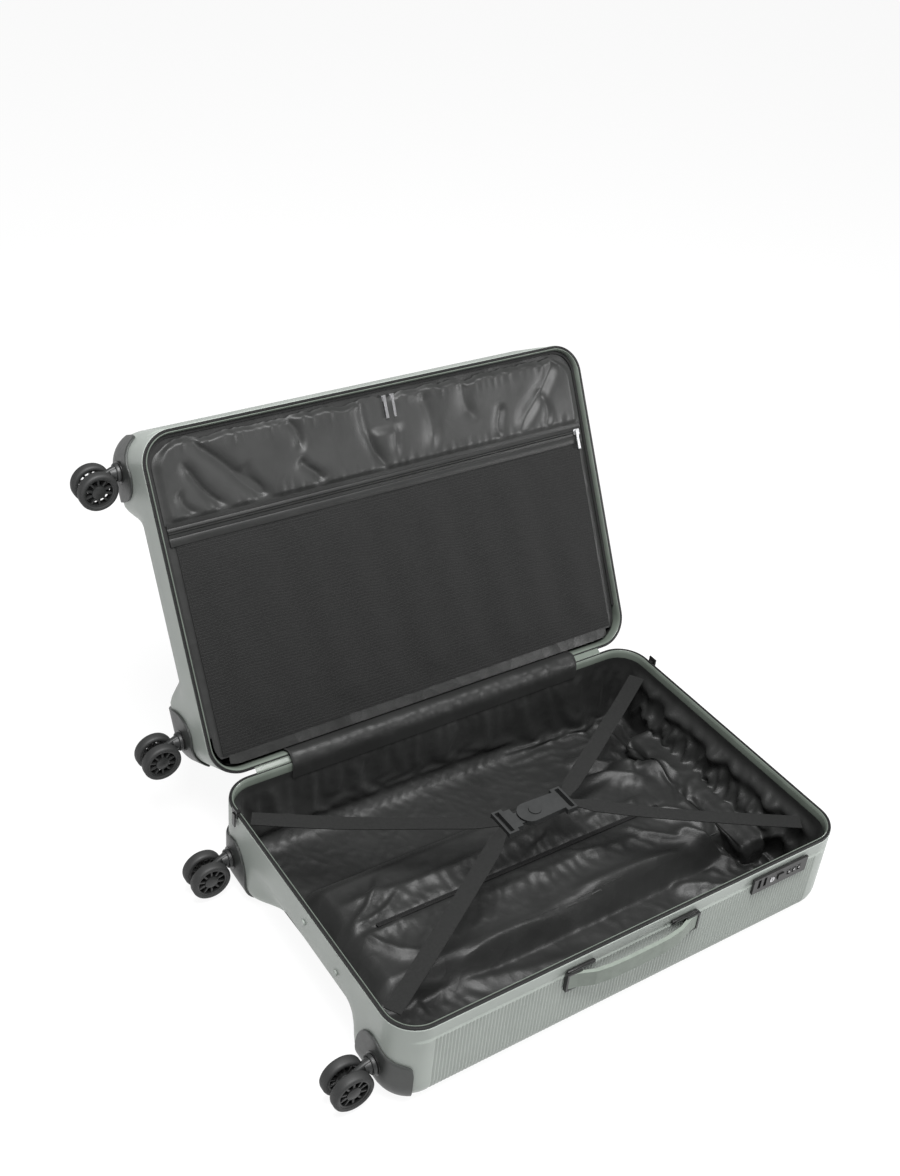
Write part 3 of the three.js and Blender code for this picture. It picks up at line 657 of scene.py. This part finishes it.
def simulate(obj, pinned, frames, extra, collider):
    """Lets a cloth with some extra length fall and wrinkle, and keeps the result."""
    group = obj.vertex_groups.new(name="pinned")
    for index, weight in pinned:
        group.add([int(index)], float(weight), "REPLACE")
    cloth = obj.modifiers.new("cloth", "CLOTH")
    settings = cloth.settings
    settings.quality = 5
    settings.mass = 0.12
    settings.tension_stiffness = 12
    settings.compression_stiffness = 12
    settings.shear_stiffness = 6
    settings.bending_stiffness = 0.5
    settings.air_damping = 3
    settings.shrink_min = -extra
    settings.vertex_group_mass = "pinned"
    cloth.point_cache.frame_start, cloth.point_cache.frame_end = 1, frames
    cloth.collision_settings.distance_min = 0.0015
    cloth.collision_settings.collision_quality = 2
    collider.modifiers.new("hard", "COLLISION")
    collider.collision.thickness_outer = 0.001
    collider.collision.cloth_friction = 8
    for step in range(1, frames + 1):
        bpy.context.scene.frame_set(step)
    apply_modifiers(obj)
    bpy.context.scene.frame_set(1)


def subdivide(obj):
    reshape(obj, "SUBSURF", levels=1, render_levels=1)
    crease(obj, 80)


def points_of(obj):
    return np.array([v.co for v in obj.data.vertices]) / MM


def set_points(obj, points):
    obj.data.vertices.foreach_set("co", (points * MM).ravel().astype(np.float32))
    obj.data.update()


# Folds of the base lining's floor: start and end (x, y), width and height.
FLOOR_FOLDS = (
    ((-262, 46), (-20, 40), 7, 7), ((-40, 36), (236, 66), 9, 6), ((-268, 8), (-190, 70), 5, 8),
    ((-268, 4), (-176, 34), 4, 6), ((-266, -6), (-186, -14), 5, 7), ((-262, -16), (-206, -70), 5, 8),
    ((-250, -104), (10, -150), 9, 6), ((-170, -96), (0, -92), 8, 6), ((-96, -18), (190, -42), 7, 5),
    ((30, -70), (230, -96), 10, 8), ((120, 20), (232, 30), 5, 6), ((100, 60), (196, 16), 5, 7),
    ((150, 112), (262, 48), 8, 15), ((196, 162), (286, 92), 9, 16), ((214, -6), (290, -60), 7, 14),
    ((220, -50), (286, -130), 8, 15), ((170, -120), (270, -170), 8, 12), ((250, 120), (300, 40), 8, 14),
    ((60, -8), (110, -40), 4, 5), ((20, 6), (70, 40), 4, 5), ((-30, -6), (20, -36), 4, 4),
    ((160, -6), (215, -70), 5, 8),
)


def lining_folds(points):
    """Adds slack beside the tubes, folds, seam gathers and the loose top end to the fallen lining."""
    x, y, z = points.T
    away = np.hypot(np.maximum(np.abs(y) - TUBE_Y - 10, 0), np.maximum(TUBE_START - x, 0))
    slack = (TUBE_TOP + 2.5) * (1 - smoothstep(away, 0, 50)) * (1 - smoothstep(x, TRAY_X - 40, TRAY_X))
    points[:, 2] = np.maximum(z, slack)
    x, y, z = points.T
    on_floor = 1 - smoothstep(z, 44, 70)
    lift = sum(fold_depth(x, y, fold) for fold in FLOOR_FOLDS)
    seam = smoothstep(x, SEAM_X[0] - 20, SEAM_X[0]) * (1 - smoothstep(x, SEAM_X[1], SEAM_X[1] + 20))
    gather = 3.2 * drift(x / 7, y / 30) * np.exp(-np.abs(y) / 16)
    sunk = 3.4 * np.exp(-(y / 3.5) ** 2)
    off_seam = 1 - 0.9 * seam * np.exp(-(y / 8) ** 2)
    points[:, 2] += on_floor * (np.minimum(lift, 18) * off_seam + seam * (gather * off_seam - sunk))
    top_end = smoothstep(x, 315, 332) * (1 - smoothstep(np.abs(y), 165, 205))
    ruffle = drift(y / 24, z / 60)
    loose = np.exp(-((z - 98 + 8 * ruffle) / 11) ** 2) * (10 + 9 * ruffle)
    draped = (1 - 2 * np.abs(ruffle)) ** 3 * smoothstep(z, 30, 50) * (1 - smoothstep(z, 70, 88)) * 11
    points[:, 0] -= top_end * (loose + draped)
    return points


def make_base_lining():
    """Loose satin cup, sewn under the rim band and fallen over the trolley's tubes."""
    lining = fine_cup("satin_base_lining", LINING_INSET + 2.5, 6.5, True)
    hard = inner_volume("hard_cup", LINING_INSET, 0, True)
    hard.data.flip_normals()
    x, y, z = points_of(lining).T
    seam = (np.abs(y) < 4) & (x > SEAM_X[0]) & (x < SEAM_X[1]) & (z < 50)
    smooth_floor = (y > 110) & (z < 30) & (x < 120)
    pins = [(i, 1.0) for i in np.nonzero((z > BAND_LOW - 4) | seam)[0]]
    pins += [(i, 0.6) for i in np.nonzero(smooth_floor & ~seam)[0]]
    simulate(lining, pins, 30, 0.05, hard)
    bpy.data.objects.remove(hard)
    subdivide(lining)
    set_points(lining, lining_folds(points_of(lining)))
    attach(lining, "base")
    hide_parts("base_lining")
    high, pitch = TUBE_TOP + 4.0, 3.1
    tooth = (1.5, 3.2, 1.4)
    teeth = [rounded_box((x, 0, high - 0.6), tooth, 0.3, 1) for x in np.arange(*SEAM_X, pitch)]
    tape = rounded_box((sum(SEAM_X) / 2, 0, high - 1.2), (SEAM_X[1] - SEAM_X[0], 6.5, 0.9), 0.3, 1)
    piece("base_lining_seam", combined([tape] + teeth), BLACK, "base", ["lining_access_zip"])


def make_lid_lining():
    """Plainer satin cup behind the divider, with shallow folds."""
    lining = fine_cup("satin_lid_lining", LINING_INSET + 2.0, 12, False)
    points = points_of(lining)
    depth = drift(*(points * [0.012, 0.03, 0.02]).T) + 0.5 * drift(*(points * 0.06).T)
    inward = 1 - smoothstep(points[:, 2], BAND_LOW - 20, BAND_LOW)
    points[:, 2] += 3.0 * np.maximum(depth, -0.1) * inward
    points, faces = to_lid((points, [tuple(p.vertices) for p in lining.data.polygons]))
    bpy.data.objects.remove(lining)
    lining = piece("satin_lid_lining", (points, faces), SATIN)
    subdivide(lining)
    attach(lining, "lid")
    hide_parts("lid_lining")


# ---- casters ----
def wheel_shape():
    """One wheel on the -Y side of its fork, axle along Y at the origin."""
    tyre = [(20.6, -19), (22.5, -20), (24.8, -19.6), (26.3, -18.2), (27, -16),
            (27, -9), (26.3, -6.8), (24.8, -5.4), (22.5, -5), (20.6, -6)]
    rim = [(18.6, -17.4), (20.8, -18.2), (20.8, -6.8), (18.6, -7.4)]
    cap = [(0.01, -19.4), (4, -19.2), (7, -18.5), (9.4, -17.2), (9.6, -15),
           (9.6, -8), (7, -5.4), (3.3, -5.4), (3.3, -15), (0.01, -15)]
    shapes = [lathe(rim), lathe(cap)]
    for i in range(10):
        spoke = rounded_box((0, -12.4, 14.2), (3.0, 8.6, 10.4), 0.8, 2)
        shapes.append(turned(spoke, 36 * i, "Y"))
    return lathe(tyre, 64), combined(shapes)


def squared(value):
    """Bends a round section towards a square one."""
    return math.copysign(abs(value) ** 0.6, value)


def fork_shape():
    """Swivel disc against the wall, a waisted neck and a rounded arm down to the axle, about the stem."""
    seat = [(0.01, -4), (11.4, -4), (13, -5), (13, -8.4), (12.2, -9.4), (0.01, -9.5)]
    stem = [(0.01, -1), (5, -1), (5, -4.6), (0.01, -4.6)]
    collar = [(0.01, -9.2), (9.8, -9.2), (9.0, -13), (7.6, -17), (0.01, -17.5)]
    arm = []
    stations = ((-8, 0, 11, 4.4), (-16, -0.8, 9.6, 4.2), (-24, -4, 9.2, 4.0), (-32, -9.5, 9.4, 4.0),
                (-39, -14.5, 8.8, 4.0), (-44, -17, 5.4, 3.6))
    sides = 20
    for x, z, tall, thick in stations:
        for k in range(sides):
            a = 2 * math.pi * k / sides
            arm.append((x, thick * squared(math.cos(a)), z + tall * squared(math.sin(a))))
    axle = [(0.01, -16.5), (3, -16.5), (3, 16.5), (0.01, 16.5)]
    guard = [(0.01, -4.6), (9, -4.6), (10, -4), (10, 4), (9, 4.6), (0.01, 4.6)]
    parts = [lathe(seat, 40, "x"), lathe(stem, 24, "x"), lathe(collar, 36, "x")]
    parts.append((np.array(arm), bar_faces(len(stations), sides)))
    return combined(parts + [moved(lathe(axle, 20), STEM_TO_AXLE), moved(lathe(guard, 36), STEM_TO_AXLE)])


def cover_skin(spread, tops, rows, off):
    """One skin of the corner cover, a distance off the shell: spread runs round the corner, rows up."""
    arc, split = math.radians(54), 0.35
    points = []
    for s, top in zip(spread, tops):
        for t in np.linspace(0, 1, rows):
            if t < split:
                a, r = arc * (1 - t / split), EDGE_R + off
                inset, z = EDGE_R - r * math.cos(a), EDGE_R - r * math.sin(a)
            else:
                inset, z = -off, EDGE_R + (top - EDGE_R) * (t - split) / (1 - split)
            corner = np.array([CORNER_R - LENGTH / 2, CORNER_R - WIDTH / 2])
            if s <= 0:
                x, y = corner + [inset - CORNER_R, -s]
            else:
                a = math.radians(180 + s)
                x, y = corner + (CORNER_R - inset) * np.array([math.cos(a), math.sin(a)])
            points.append((x, y, z))
    return np.array(points).reshape(len(spread), rows, 3)


def housing_shape():
    """Corner cover at -X -Y, from its wing on the end wall round the corner."""
    stops = np.array([(-42.5, 44), (-40, 58), (-36, 68), (-30, 77), (-20, 85), (-10, 88), (0, 86), (12, 81),
                      (25, 76.5), (38, 74), (50, 73), (58, 71), (62.5, 66), (64.2, 58)])
    spread = np.concatenate([np.linspace(-42.5, 0, 26), np.linspace(2, 64.2, 32)])
    tops = np.interp(spread, stops[:, 0], stops[:, 1])
    rows, gap, thick = 16, 0.35, 3.0
    inner, outer, edge = (cover_skin(spread, tops, rows, gap + share * thick) for share in (0, 1, 0.75))
    outer[:, -1] = 0.6 * outer[:, -1] + 0.4 * outer[:, -2]
    loop = np.concatenate([inner, edge[:, -1:], outer[:, ::-1]], axis=1)
    m = loop.shape[1]
    faces = bar_faces(len(spread), m)
    return loop.reshape(-1, 3), flipped(faces[:-2]) + faces[-2:]


def make_casters():
    tyre, hub = wheel_shape()
    fork, housing = fork_shape(), housing_shape()
    seat_profile = [(6.2, -2.2), (14.5, -2.2), (15.4, -2.8), (15.4, -3.9), (14.6, -4.4), (6.2, -4.4)]
    for name in CASTERS:
        stem = np.array(joint_named(f"{name}_swivel")["pos_m"]) / MM
        stem[0] = -LENGTH / 2
        in_lid, hinge_side = name.startswith("lid"), name.endswith("hinge")
        corner = mirrored_y(housing) if hinge_side else housing
        corner = to_lid(corner) if in_lid else corner
        half = "lid" if in_lid else "base"
        piece(f"{name}_cover", corner, HOUSING, half, [f"{name}_housing"], sharp=45)
        ring = moved(lathe(seat_profile, 48, "x"), stem)
        piece(f"{name}_swivel_seat", ring, BLACK, half)
        arm = moved(fork, stem)
        piece(f"{name}_arm", arm, PLASTIC, f"{name}_fork", [f"{name}_fork"], sharp=40)
        for side, flip in (("near", False), ("far", True)):
            body = f"{name}_wheel_{side}"
            near = (mirrored_y(shape) if flip else shape for shape in (tyre, hub))
            outside, inside = (moved(shape, stem + STEM_TO_AXLE) for shape in near)
            wheel = piece(f"{body}_tyre", outside, TYRE, body, [body], sharp=40)
            piece(f"{body}_hub", inside, HUB, body, sharp=40)


# ---- straps and buckle ----
def strap_shape(sign_x, sign_y, bar_x):
    """Slightly slack webbing from a corner of the lining to the buckle's end bar, narrower at the bar."""
    anchor = np.array([sign_x * 327, sign_y * 178, 116.0])
    bar = np.array([bar_x, sign_y * 9.2, 129.5])
    along = (bar - anchor) / np.linalg.norm(bar - anchor)
    across = np.array([-along[1], along[0], 0]) / math.hypot(along[0], along[1])
    mouth = np.array([0, math.copysign(1, across[1]), 0])
    rows, steps = [], 46
    for i in range(steps + 1):
        t = i / steps
        turn = smoothstep(t, 0.9, 1.0)
        side = across * (1 - turn) + mouth * turn
        half = 0.5 * (STRAP_WIDE * (1 - turn) + STRAP_END_WIDE * turn)
        centre = anchor + (bar - anchor) * t
        centre[2] += -STRAP_SAG * 4 * t * (1 - t) + 0.5 * math.sin(9 * t + sign_x + 2 * sign_y)
        curl = 0.9 * math.sin(5 * t + sign_y) * math.sin(math.pi * t)
        for u, v in ((-1, -1), (-0.5, -1), (0.5, -1), (1, -1), (1, 1), (0.5, 1), (-0.5, 1), (-1, 1)):
            lift = v * STRAP_THICK / 2 + curl * u + 0.3 * (1 - u * u)
            rows.append(centre + side * half * u + [0, 0, lift])
    return np.array(rows), bar_faces(steps + 1, 8)


def make_straps():
    for end, sign_x, bar_x in (("wheel_end", -1, -54.6), ("top_end", 1, 58.6)):
        for side, sign_y in (("lock_side", -1), ("hinge_side", 1)):
            node = f"strap_{end}_{side}"
            shape = strap_shape(sign_x, sign_y, bar_x)
            strap = piece(f"{node}_webbing", shape, WEBBING, sharp=50)
            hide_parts(node)
            if sign_x > 0:
                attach(strap, "base")
            else:
                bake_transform(strap)


# ---- divider ----
def divider_grid(low, high, half, step, deep):
    """Flat grid in the closed lid: out from the hinge line from low to high, at a depth into the lid."""
    xs = np.linspace(-half, half, int(2 * half / step) + 1)
    ss = np.linspace(low, high, int((high - low) / step) + 1)
    points = [(x, HINGE_Y - s, DEPTH - deep) for s in ss for x in xs]
    return np.array(points, float), grid_faces(len(ss), len(xs), wrap_columns=False)


# Folds of the loose strip: where each starts and ends (x, distance from the hinge line), width and depth.
STRIP_FOLDS = (
    ((-288, 456), (-178, 350), 7, 8), ((-300, 418), (-244, 350), 6, 8), ((-312, 384), (-290, 350), 5, 5),
    ((-139, 456), (-122, 402), 6, 7), ((-128, 394), (-104, 350), 6, 7), ((-30, 456), (-4, 350), 6, 8),
    ((12, 436), (22, 364), 5, 5), ((80, 450), (76, 360), 8, 6), ((196, 402), (194, 350), 5, 5),
    ((308, 452), (226, 350), 8, 7), ((281, 408), (276, 354), 5, 5), ((-210, 404), (-196, 352), 7, 5),
    ((140, 456), (150, 388), 8, 5),
)


def fold_depth(x, s, fold):
    """Depth of one fold at a point: a steep side and a soft one, fading out at both ends."""
    (x0, s0), (x1, s1), wide, deep = fold
    run = np.array([x1 - x0, s1 - s0], float)
    long = np.linalg.norm(run)
    run /= long
    along = ((x - x0) * run[0] + (s - s0) * run[1]) / long
    across = (x - x0) * run[1] - (s - s0) * run[0]
    across = across + 4 * np.sin(along * 5 + x0)
    spread = np.where(across > 0, wide * 1.7, wide * 0.95)
    fade = smoothstep(along, -0.08, 0.2) * (1 - smoothstep(along, 0.75, 1.1))
    return deep * np.exp(-np.abs(across / spread) ** 1.6) * fade


def make_divider_strip():
    """Loose satin strip above the pocket's zip, gathered along its edges."""
    points, faces = divider_grid(346, 455, DIVIDER_HALF, 1.7, 9.2)
    s = HINGE_Y - points[:, 1]
    half = DIVIDER_HALF - round_off(456 - s, 33)
    points[:, 0] *= half / DIVIDER_HALF
    x = points[:, 0]
    free = smoothstep(half - np.abs(x), 0, 14) * smoothstep(s, 345, 356) * smoothstep(456 - s, 0, 9)
    puff = 6.5 + 1.2 * np.sin(x / 37) * np.sin(s / 19)
    folds = sum(fold_depth(x, s, fold) for fold in STRIP_FOLDS)
    ruffle, sag = drift(x / 9), drift(x / 34, 5)
    near_top, near_zip = smoothstep(s, 425, 455), 1 - smoothstep(s, 348, 372)
    flat = 1 - np.exp(-(x / 30) ** 4) * smoothstep(s, 395, 412)
    points[:, 2] += free * flat * (puff - np.minimum(folds, 8) + 2.4 * ruffle * (near_top + 0.7 * near_zip))
    points[:, 1] += smoothstep(s, 400, 455) * (5 + 7 * sag + 2 * ruffle)
    return piece("divider_satin_strip", to_lid((points, faces)), STRIP)


def zip_band_shape():
    """Pocket zip between its two hems, as one moulded-looking strip: hem, seam, coil, seam, hem."""
    outline = ((350, 10.4), (349, 8.4), (343, 7.9), (341.6, 8.6), (340.4, 7.9), (337.6, 7.7),
               (336.8, 8.8), (335.8, 7.4), (334.6, 7.4), (333.6, 8.8), (332.8, 7.7), (329.6, 7.9),
               (328.4, 8.6), (327, 7.9), (318.5, 8.0), (317.5, 8.6), (317.5, 10.4))
    xs = np.linspace(-335, 335, 180)
    rows = [[(x, HINGE_Y - s, DEPTH - d - 0.25 * math.sin(x / 31 + s / 9)) for s, d in outline] for x in xs]
    return np.array(rows).reshape(-1, 3), flipped(bar_faces(len(xs), len(outline)))


def edge_zip_shape():
    """Tape of the divider's edge zip, along the band on the two ends and the lock side."""
    columns = Columns(40, 30, 12)
    order = np.roll(np.arange(columns.count), -(columns.corner_start[1] + columns.corner_steps // 2))
    order = order[columns.base[order, 1] < WIDTH / 2 - CORNER_R]
    profile = [(7.2, DEPTH - 9.4), (11.6, DEPTH - 9.2), (11.6, DEPTH - 10.6), (7.2, DEPTH - 10.8)]
    points = np.concatenate([columns.ring(inset, z)[order] for inset, z in profile])
    faces = grid_faces(len(profile), len(order), wrap_columns=False, wrap_rows=True)
    faces.append(tuple(k * len(order) for k in range(len(profile))))
    faces.append(tuple(k * len(order) + len(order) - 1 for k in reversed(range(len(profile)))))
    return points, flipped(faces)


def make_gusset():
    """Satin roll over the hinge, sewn inside both rim bands."""
    steps = 150
    path = [(223.6, 113), (223.4, 120), (223.0, 128), (223.0, 134), (224.4, 139.5), (227.5, 144.5),
            (232, 148.2), (237, 150), (242, 149.6), (248, 146.4), (254, 142.6), (260, 139)]
    padded = (np.pad(v, 2, mode="edge") for v in resampled(path, 40))
    ys, zs = (np.convolve(v, np.ones(5) / 5, mode="valid") for v in padded)
    free = np.sin(math.pi * np.arange(len(ys)) / (len(ys) - 1))
    points = []
    for x in np.linspace(-GUSSET_HALF, GUSSET_HALF, steps + 1):
        k = np.arange(len(ys))
        pucker = free * (0.7 * drift(x / 14, k / 9) + 0.35 * drift(x / 5, k / 14, 3))
        points += zip(np.full(len(ys), x), ys - pucker, zs + pucker)
    shape = points, grid_faces(steps + 1, len(ys), wrap_columns=False)
    gusset = piece("satin_hinge_gusset", shape, GUSSET)
    solidify(gusset, 0.7)
    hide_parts("hinge_gusset_base", "hinge_gusset_lid")
    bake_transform(gusset)
    for side in (-1, 1):
        tab = [(side * GUSSET_HALF + u, y + 0.2, z + 0.5) for u in (-1.5, 1.5) for y, z in zip(ys, zs)]
        shape = tab, grid_faces(2, len(ys), wrap_columns=False)
        edge = piece(f"gusset_binding_{'top' if side > 0 else 'wheel'}_end", shape, TAPE)
        solidify(edge, 1.0)
        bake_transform(edge)


def make_hinge_cover():
    """Thin cover strip between the two rims on the hinge side."""
    steps = 60
    y = WIDTH / 2 - 2.2
    base_edge = [(y - 1.2, SHELL_TOP + 2.4), (y + 0.2, SHELL_TOP + 3.4), (y + 1.1, SHELL_TOP + 4.6)]
    lid_edge = to_lid(([(0, a, b) for a, b in base_edge], []))[0][:, 1:]
    ys, zs = resampled(base_edge + [tuple(p) for p in lid_edge[::-1]], 22)
    xs = np.linspace(-COVER_HALF, COVER_HALF, steps + 1)
    points = [(x, a, b) for x in xs for a, b in zip(ys, zs)]
    shape = points, grid_faces(steps + 1, len(ys), wrap_columns=False)
    cover = piece("hinge_cover_strip", shape, BAND)
    solidify(cover, 0.8)
    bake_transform(cover)


def make_divider():
    strip = make_divider_strip()
    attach(strip, "divider")
    assign(frame["nodes"]["divider_panel"], SATIN)
    band = to_lid(zip_band_shape())
    piece("divider_zip_band", band, HEM, "divider", ["divider_pocket_zip"], sharp=50)
    piece("divider_edge_zip", to_lid(edge_zip_shape()), TAPE, "lid")
    points, faces = divider_grid(30, 323, 328, 6, 9.9)
    x, s = points[:, 0], HINGE_Y - points[:, 1]
    edge = smoothstep(np.minimum(328 - np.abs(x), np.minimum(s - 30, 323 - s)), 0, 45)
    waves = np.sin(x / 23 + 0.4 * np.sin(s / 60)) + 0.6 * np.sin(x / 11 + s / 90)
    points[:, 2] += edge * 1.1 * (waves + 1.2)
    pocket = piece("divider_knit_pocket", to_lid((points, faces)), KNIT)
    solidify(pocket, 0.5)
    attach(pocket, "divider")
    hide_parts("divider_mesh_pocket")


# ---- frame nodes that keep their shape ----
def assign(obj, material):
    obj.data.materials.clear()
    obj.data.materials.append(material)


def soften(node, material, width, segments):
    """Keeps a frame node, with a better material and small rounds on its edges."""
    obj = frame["nodes"][node]
    assign(obj, material)
    bevel = obj.modifiers.new("rounds", "BEVEL")
    bevel.width = width * MM
    bevel.segments = segments
    bevel.limit_method = "ANGLE"
    bevel.angle_limit = math.radians(32)
    bevel.harden_normals = False


def finish_frame_nodes():
    groups = (
        (PLASTIC, 0.8, 2, ("trolley_housing", "trolley_grip")),
        (TUBE, 0.6, 2, ("trolley_middle_tube_lock_side", "trolley_middle_tube_hinge_side")),
        (BLACK, 0.6, 2, ("trolley_button", "lock_release_button")),
        (BLACK, 0.6, 2, ("side_handle_bracket_wheel_end", "side_handle_bracket_top_end")),
        (BLACK, 0.4, 2, ("lock_plate", "lock_dial_1", "lock_dial_2", "lock_dial_3")),
        (BLACK, 0.4, 2, ("zip_slider_wheel_end", "zip_slider_top_end")),
        (GRIP, 1.4, 3, ("side_handle", "top_handle")),
        (PLASTIC, 0.7, 3, ("buckle_socket", "buckle_plug", "buckle_button")),
        (SILVER, 0.4, 2, ("lock_key_barrel", "lining_pocket_slider", "divider_pocket_slider")),
        (SILVER, 0.4, 2, ("divider_slider_wheel_end", "divider_slider_top_end")),
        (SHELL, 0.4, 2, ("end_stud_middle", "end_stud_lock_side")),
    )
    for material, width, segments, nodes in groups:
        for node in nodes:
            soften(node, material, width, segments)


def make_handle_slots():
    """Black guides in which the side handle's two ends slide, above the grip."""
    low, high = in_mm(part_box("side_handle"))
    for end, x in (("wheel_end", low[0] + 20), ("top_end", high[0] - 20)):
        guide = rounded_box((x, -WIDTH / 2 - 1.3, high[2] + 2.2), (42, 4.6, 5.4), 1.2)
        slot = rounded_box((x, -WIDTH / 2 - 3.8, high[2] + 2.2), (34, 0.8, 1.6), 0.3, 1)
        piece(f"side_handle_guide_{end}", guide, BLACK, "base")
        piece(f"side_handle_guide_line_{end}", slot, HOUSING, "base")


def make_dial_digits():
    """One printed digit on the front of each dial, turning with it."""
    for i in (1, 2, 3):
        low, high = in_mm(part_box(f"lock_dial_{i}"))
        text = bpy.data.curves.new(f"digit_{i}", "FONT")
        text.body = "0"
        text.size = 4.2 * MM
        text.extrude = 0.12 * MM
        text.align_x, text.align_y = "CENTER", "CENTER"
        source = placed(f"digit_source_{i}", text)
        data = as_seen(source)
        bpy.data.objects.remove(source)
        points = np.array([v.co for v in data.vertices]) / MM
        faces = [tuple(p.vertices) for p in data.polygons]
        place = np.array([(low[0] + high[0]) / 2, low[1], (low[2] + high[2]) / 2])
        points = np.stack([points[:, 0], -points[:, 2], points[:, 1]], axis=1) + place
        piece(f"dial_digit_{i}", (points, faces), DIGIT, f"lock_dial_{i}")


# ---- studio ----
def area_light(name, place, target, size, power):
    data = bpy.data.lights.new(name, "AREA")
    data.shape = "RECTANGLE"
    data.size, data.size_y = size
    data.energy = power
    light = placed(name, data)
    light.location = place
    aim = Vector(target) - Vector(place)
    light.rotation_euler = aim.to_track_quat("-Z", "Y").to_euler()


def pale_material():
    m = Nodes("pale_floor", (0.12, 0.12, 0.12), 1.0, specular_ior_level=0.0, emission_strength=0.92)
    m.shader.inputs["Emission Color"].default_value = (1, 1, 1, 1)
    return m.material


def make_studio():
    corners = np.array([(-1, -1, 0), (1, -1, 0), (1, 1, 0), (-1, 1, 0)]) * 30000
    floor = piece("studio_floor", (corners, [(0, 1, 2, 3)]), pale_material())
    world = bpy.data.worlds.new("studio")
    world.use_nodes = True
    background = world.node_tree.nodes["Background"].inputs
    background["Color"].default_value = (1, 1, 1, 1)
    background["Strength"].default_value = 0.16
    bpy.context.scene.world = world
    bpy.context.scene.view_settings.view_transform = "Standard"
    area_light("top_light", (-0.3, -0.5, 2.5), (0, 0.1, 0), (1.5, 1.5), 135)
    area_light("front_light", (2.5, -1.25, 0.7), (0.1, -0.25, 0.1), (0.7, 0.7), 50)


def make_camera():
    """Main view, given by its place and its azimuth, elevation and roll."""
    azimuth, elevation, roll = (math.radians(a) for a in (-36.399, 34.573, 5.807))
    level = math.cos(elevation)
    back = Vector((math.sin(azimuth) * level, -math.cos(azimuth) * level, math.sin(elevation)))
    right = Vector((math.cos(azimuth), math.sin(azimuth), 0))
    up = back.cross(right)
    side = right * math.cos(roll) + up * math.sin(roll)
    top = up * math.cos(roll) - right * math.sin(roll)
    data = bpy.data.cameras.new("camera")
    data.sensor_width = 36
    data.lens = 44.44
    camera = placed("camera", data)
    aim = Matrix((side, top, back)).transposed().to_4x4()
    camera.matrix_world = Matrix.Translation((-0.9622, -1.0683, 1.4646)) @ aim
    bpy.context.scene.camera = camera


make_camera()
make_shells()
make_rims()
make_base_lining()
make_lid_lining()
make_casters()
make_straps()
make_divider()
make_gusset()
make_hinge_cover()
finish_frame_nodes()
make_handle_slots()
make_dial_digits()
make_studio()
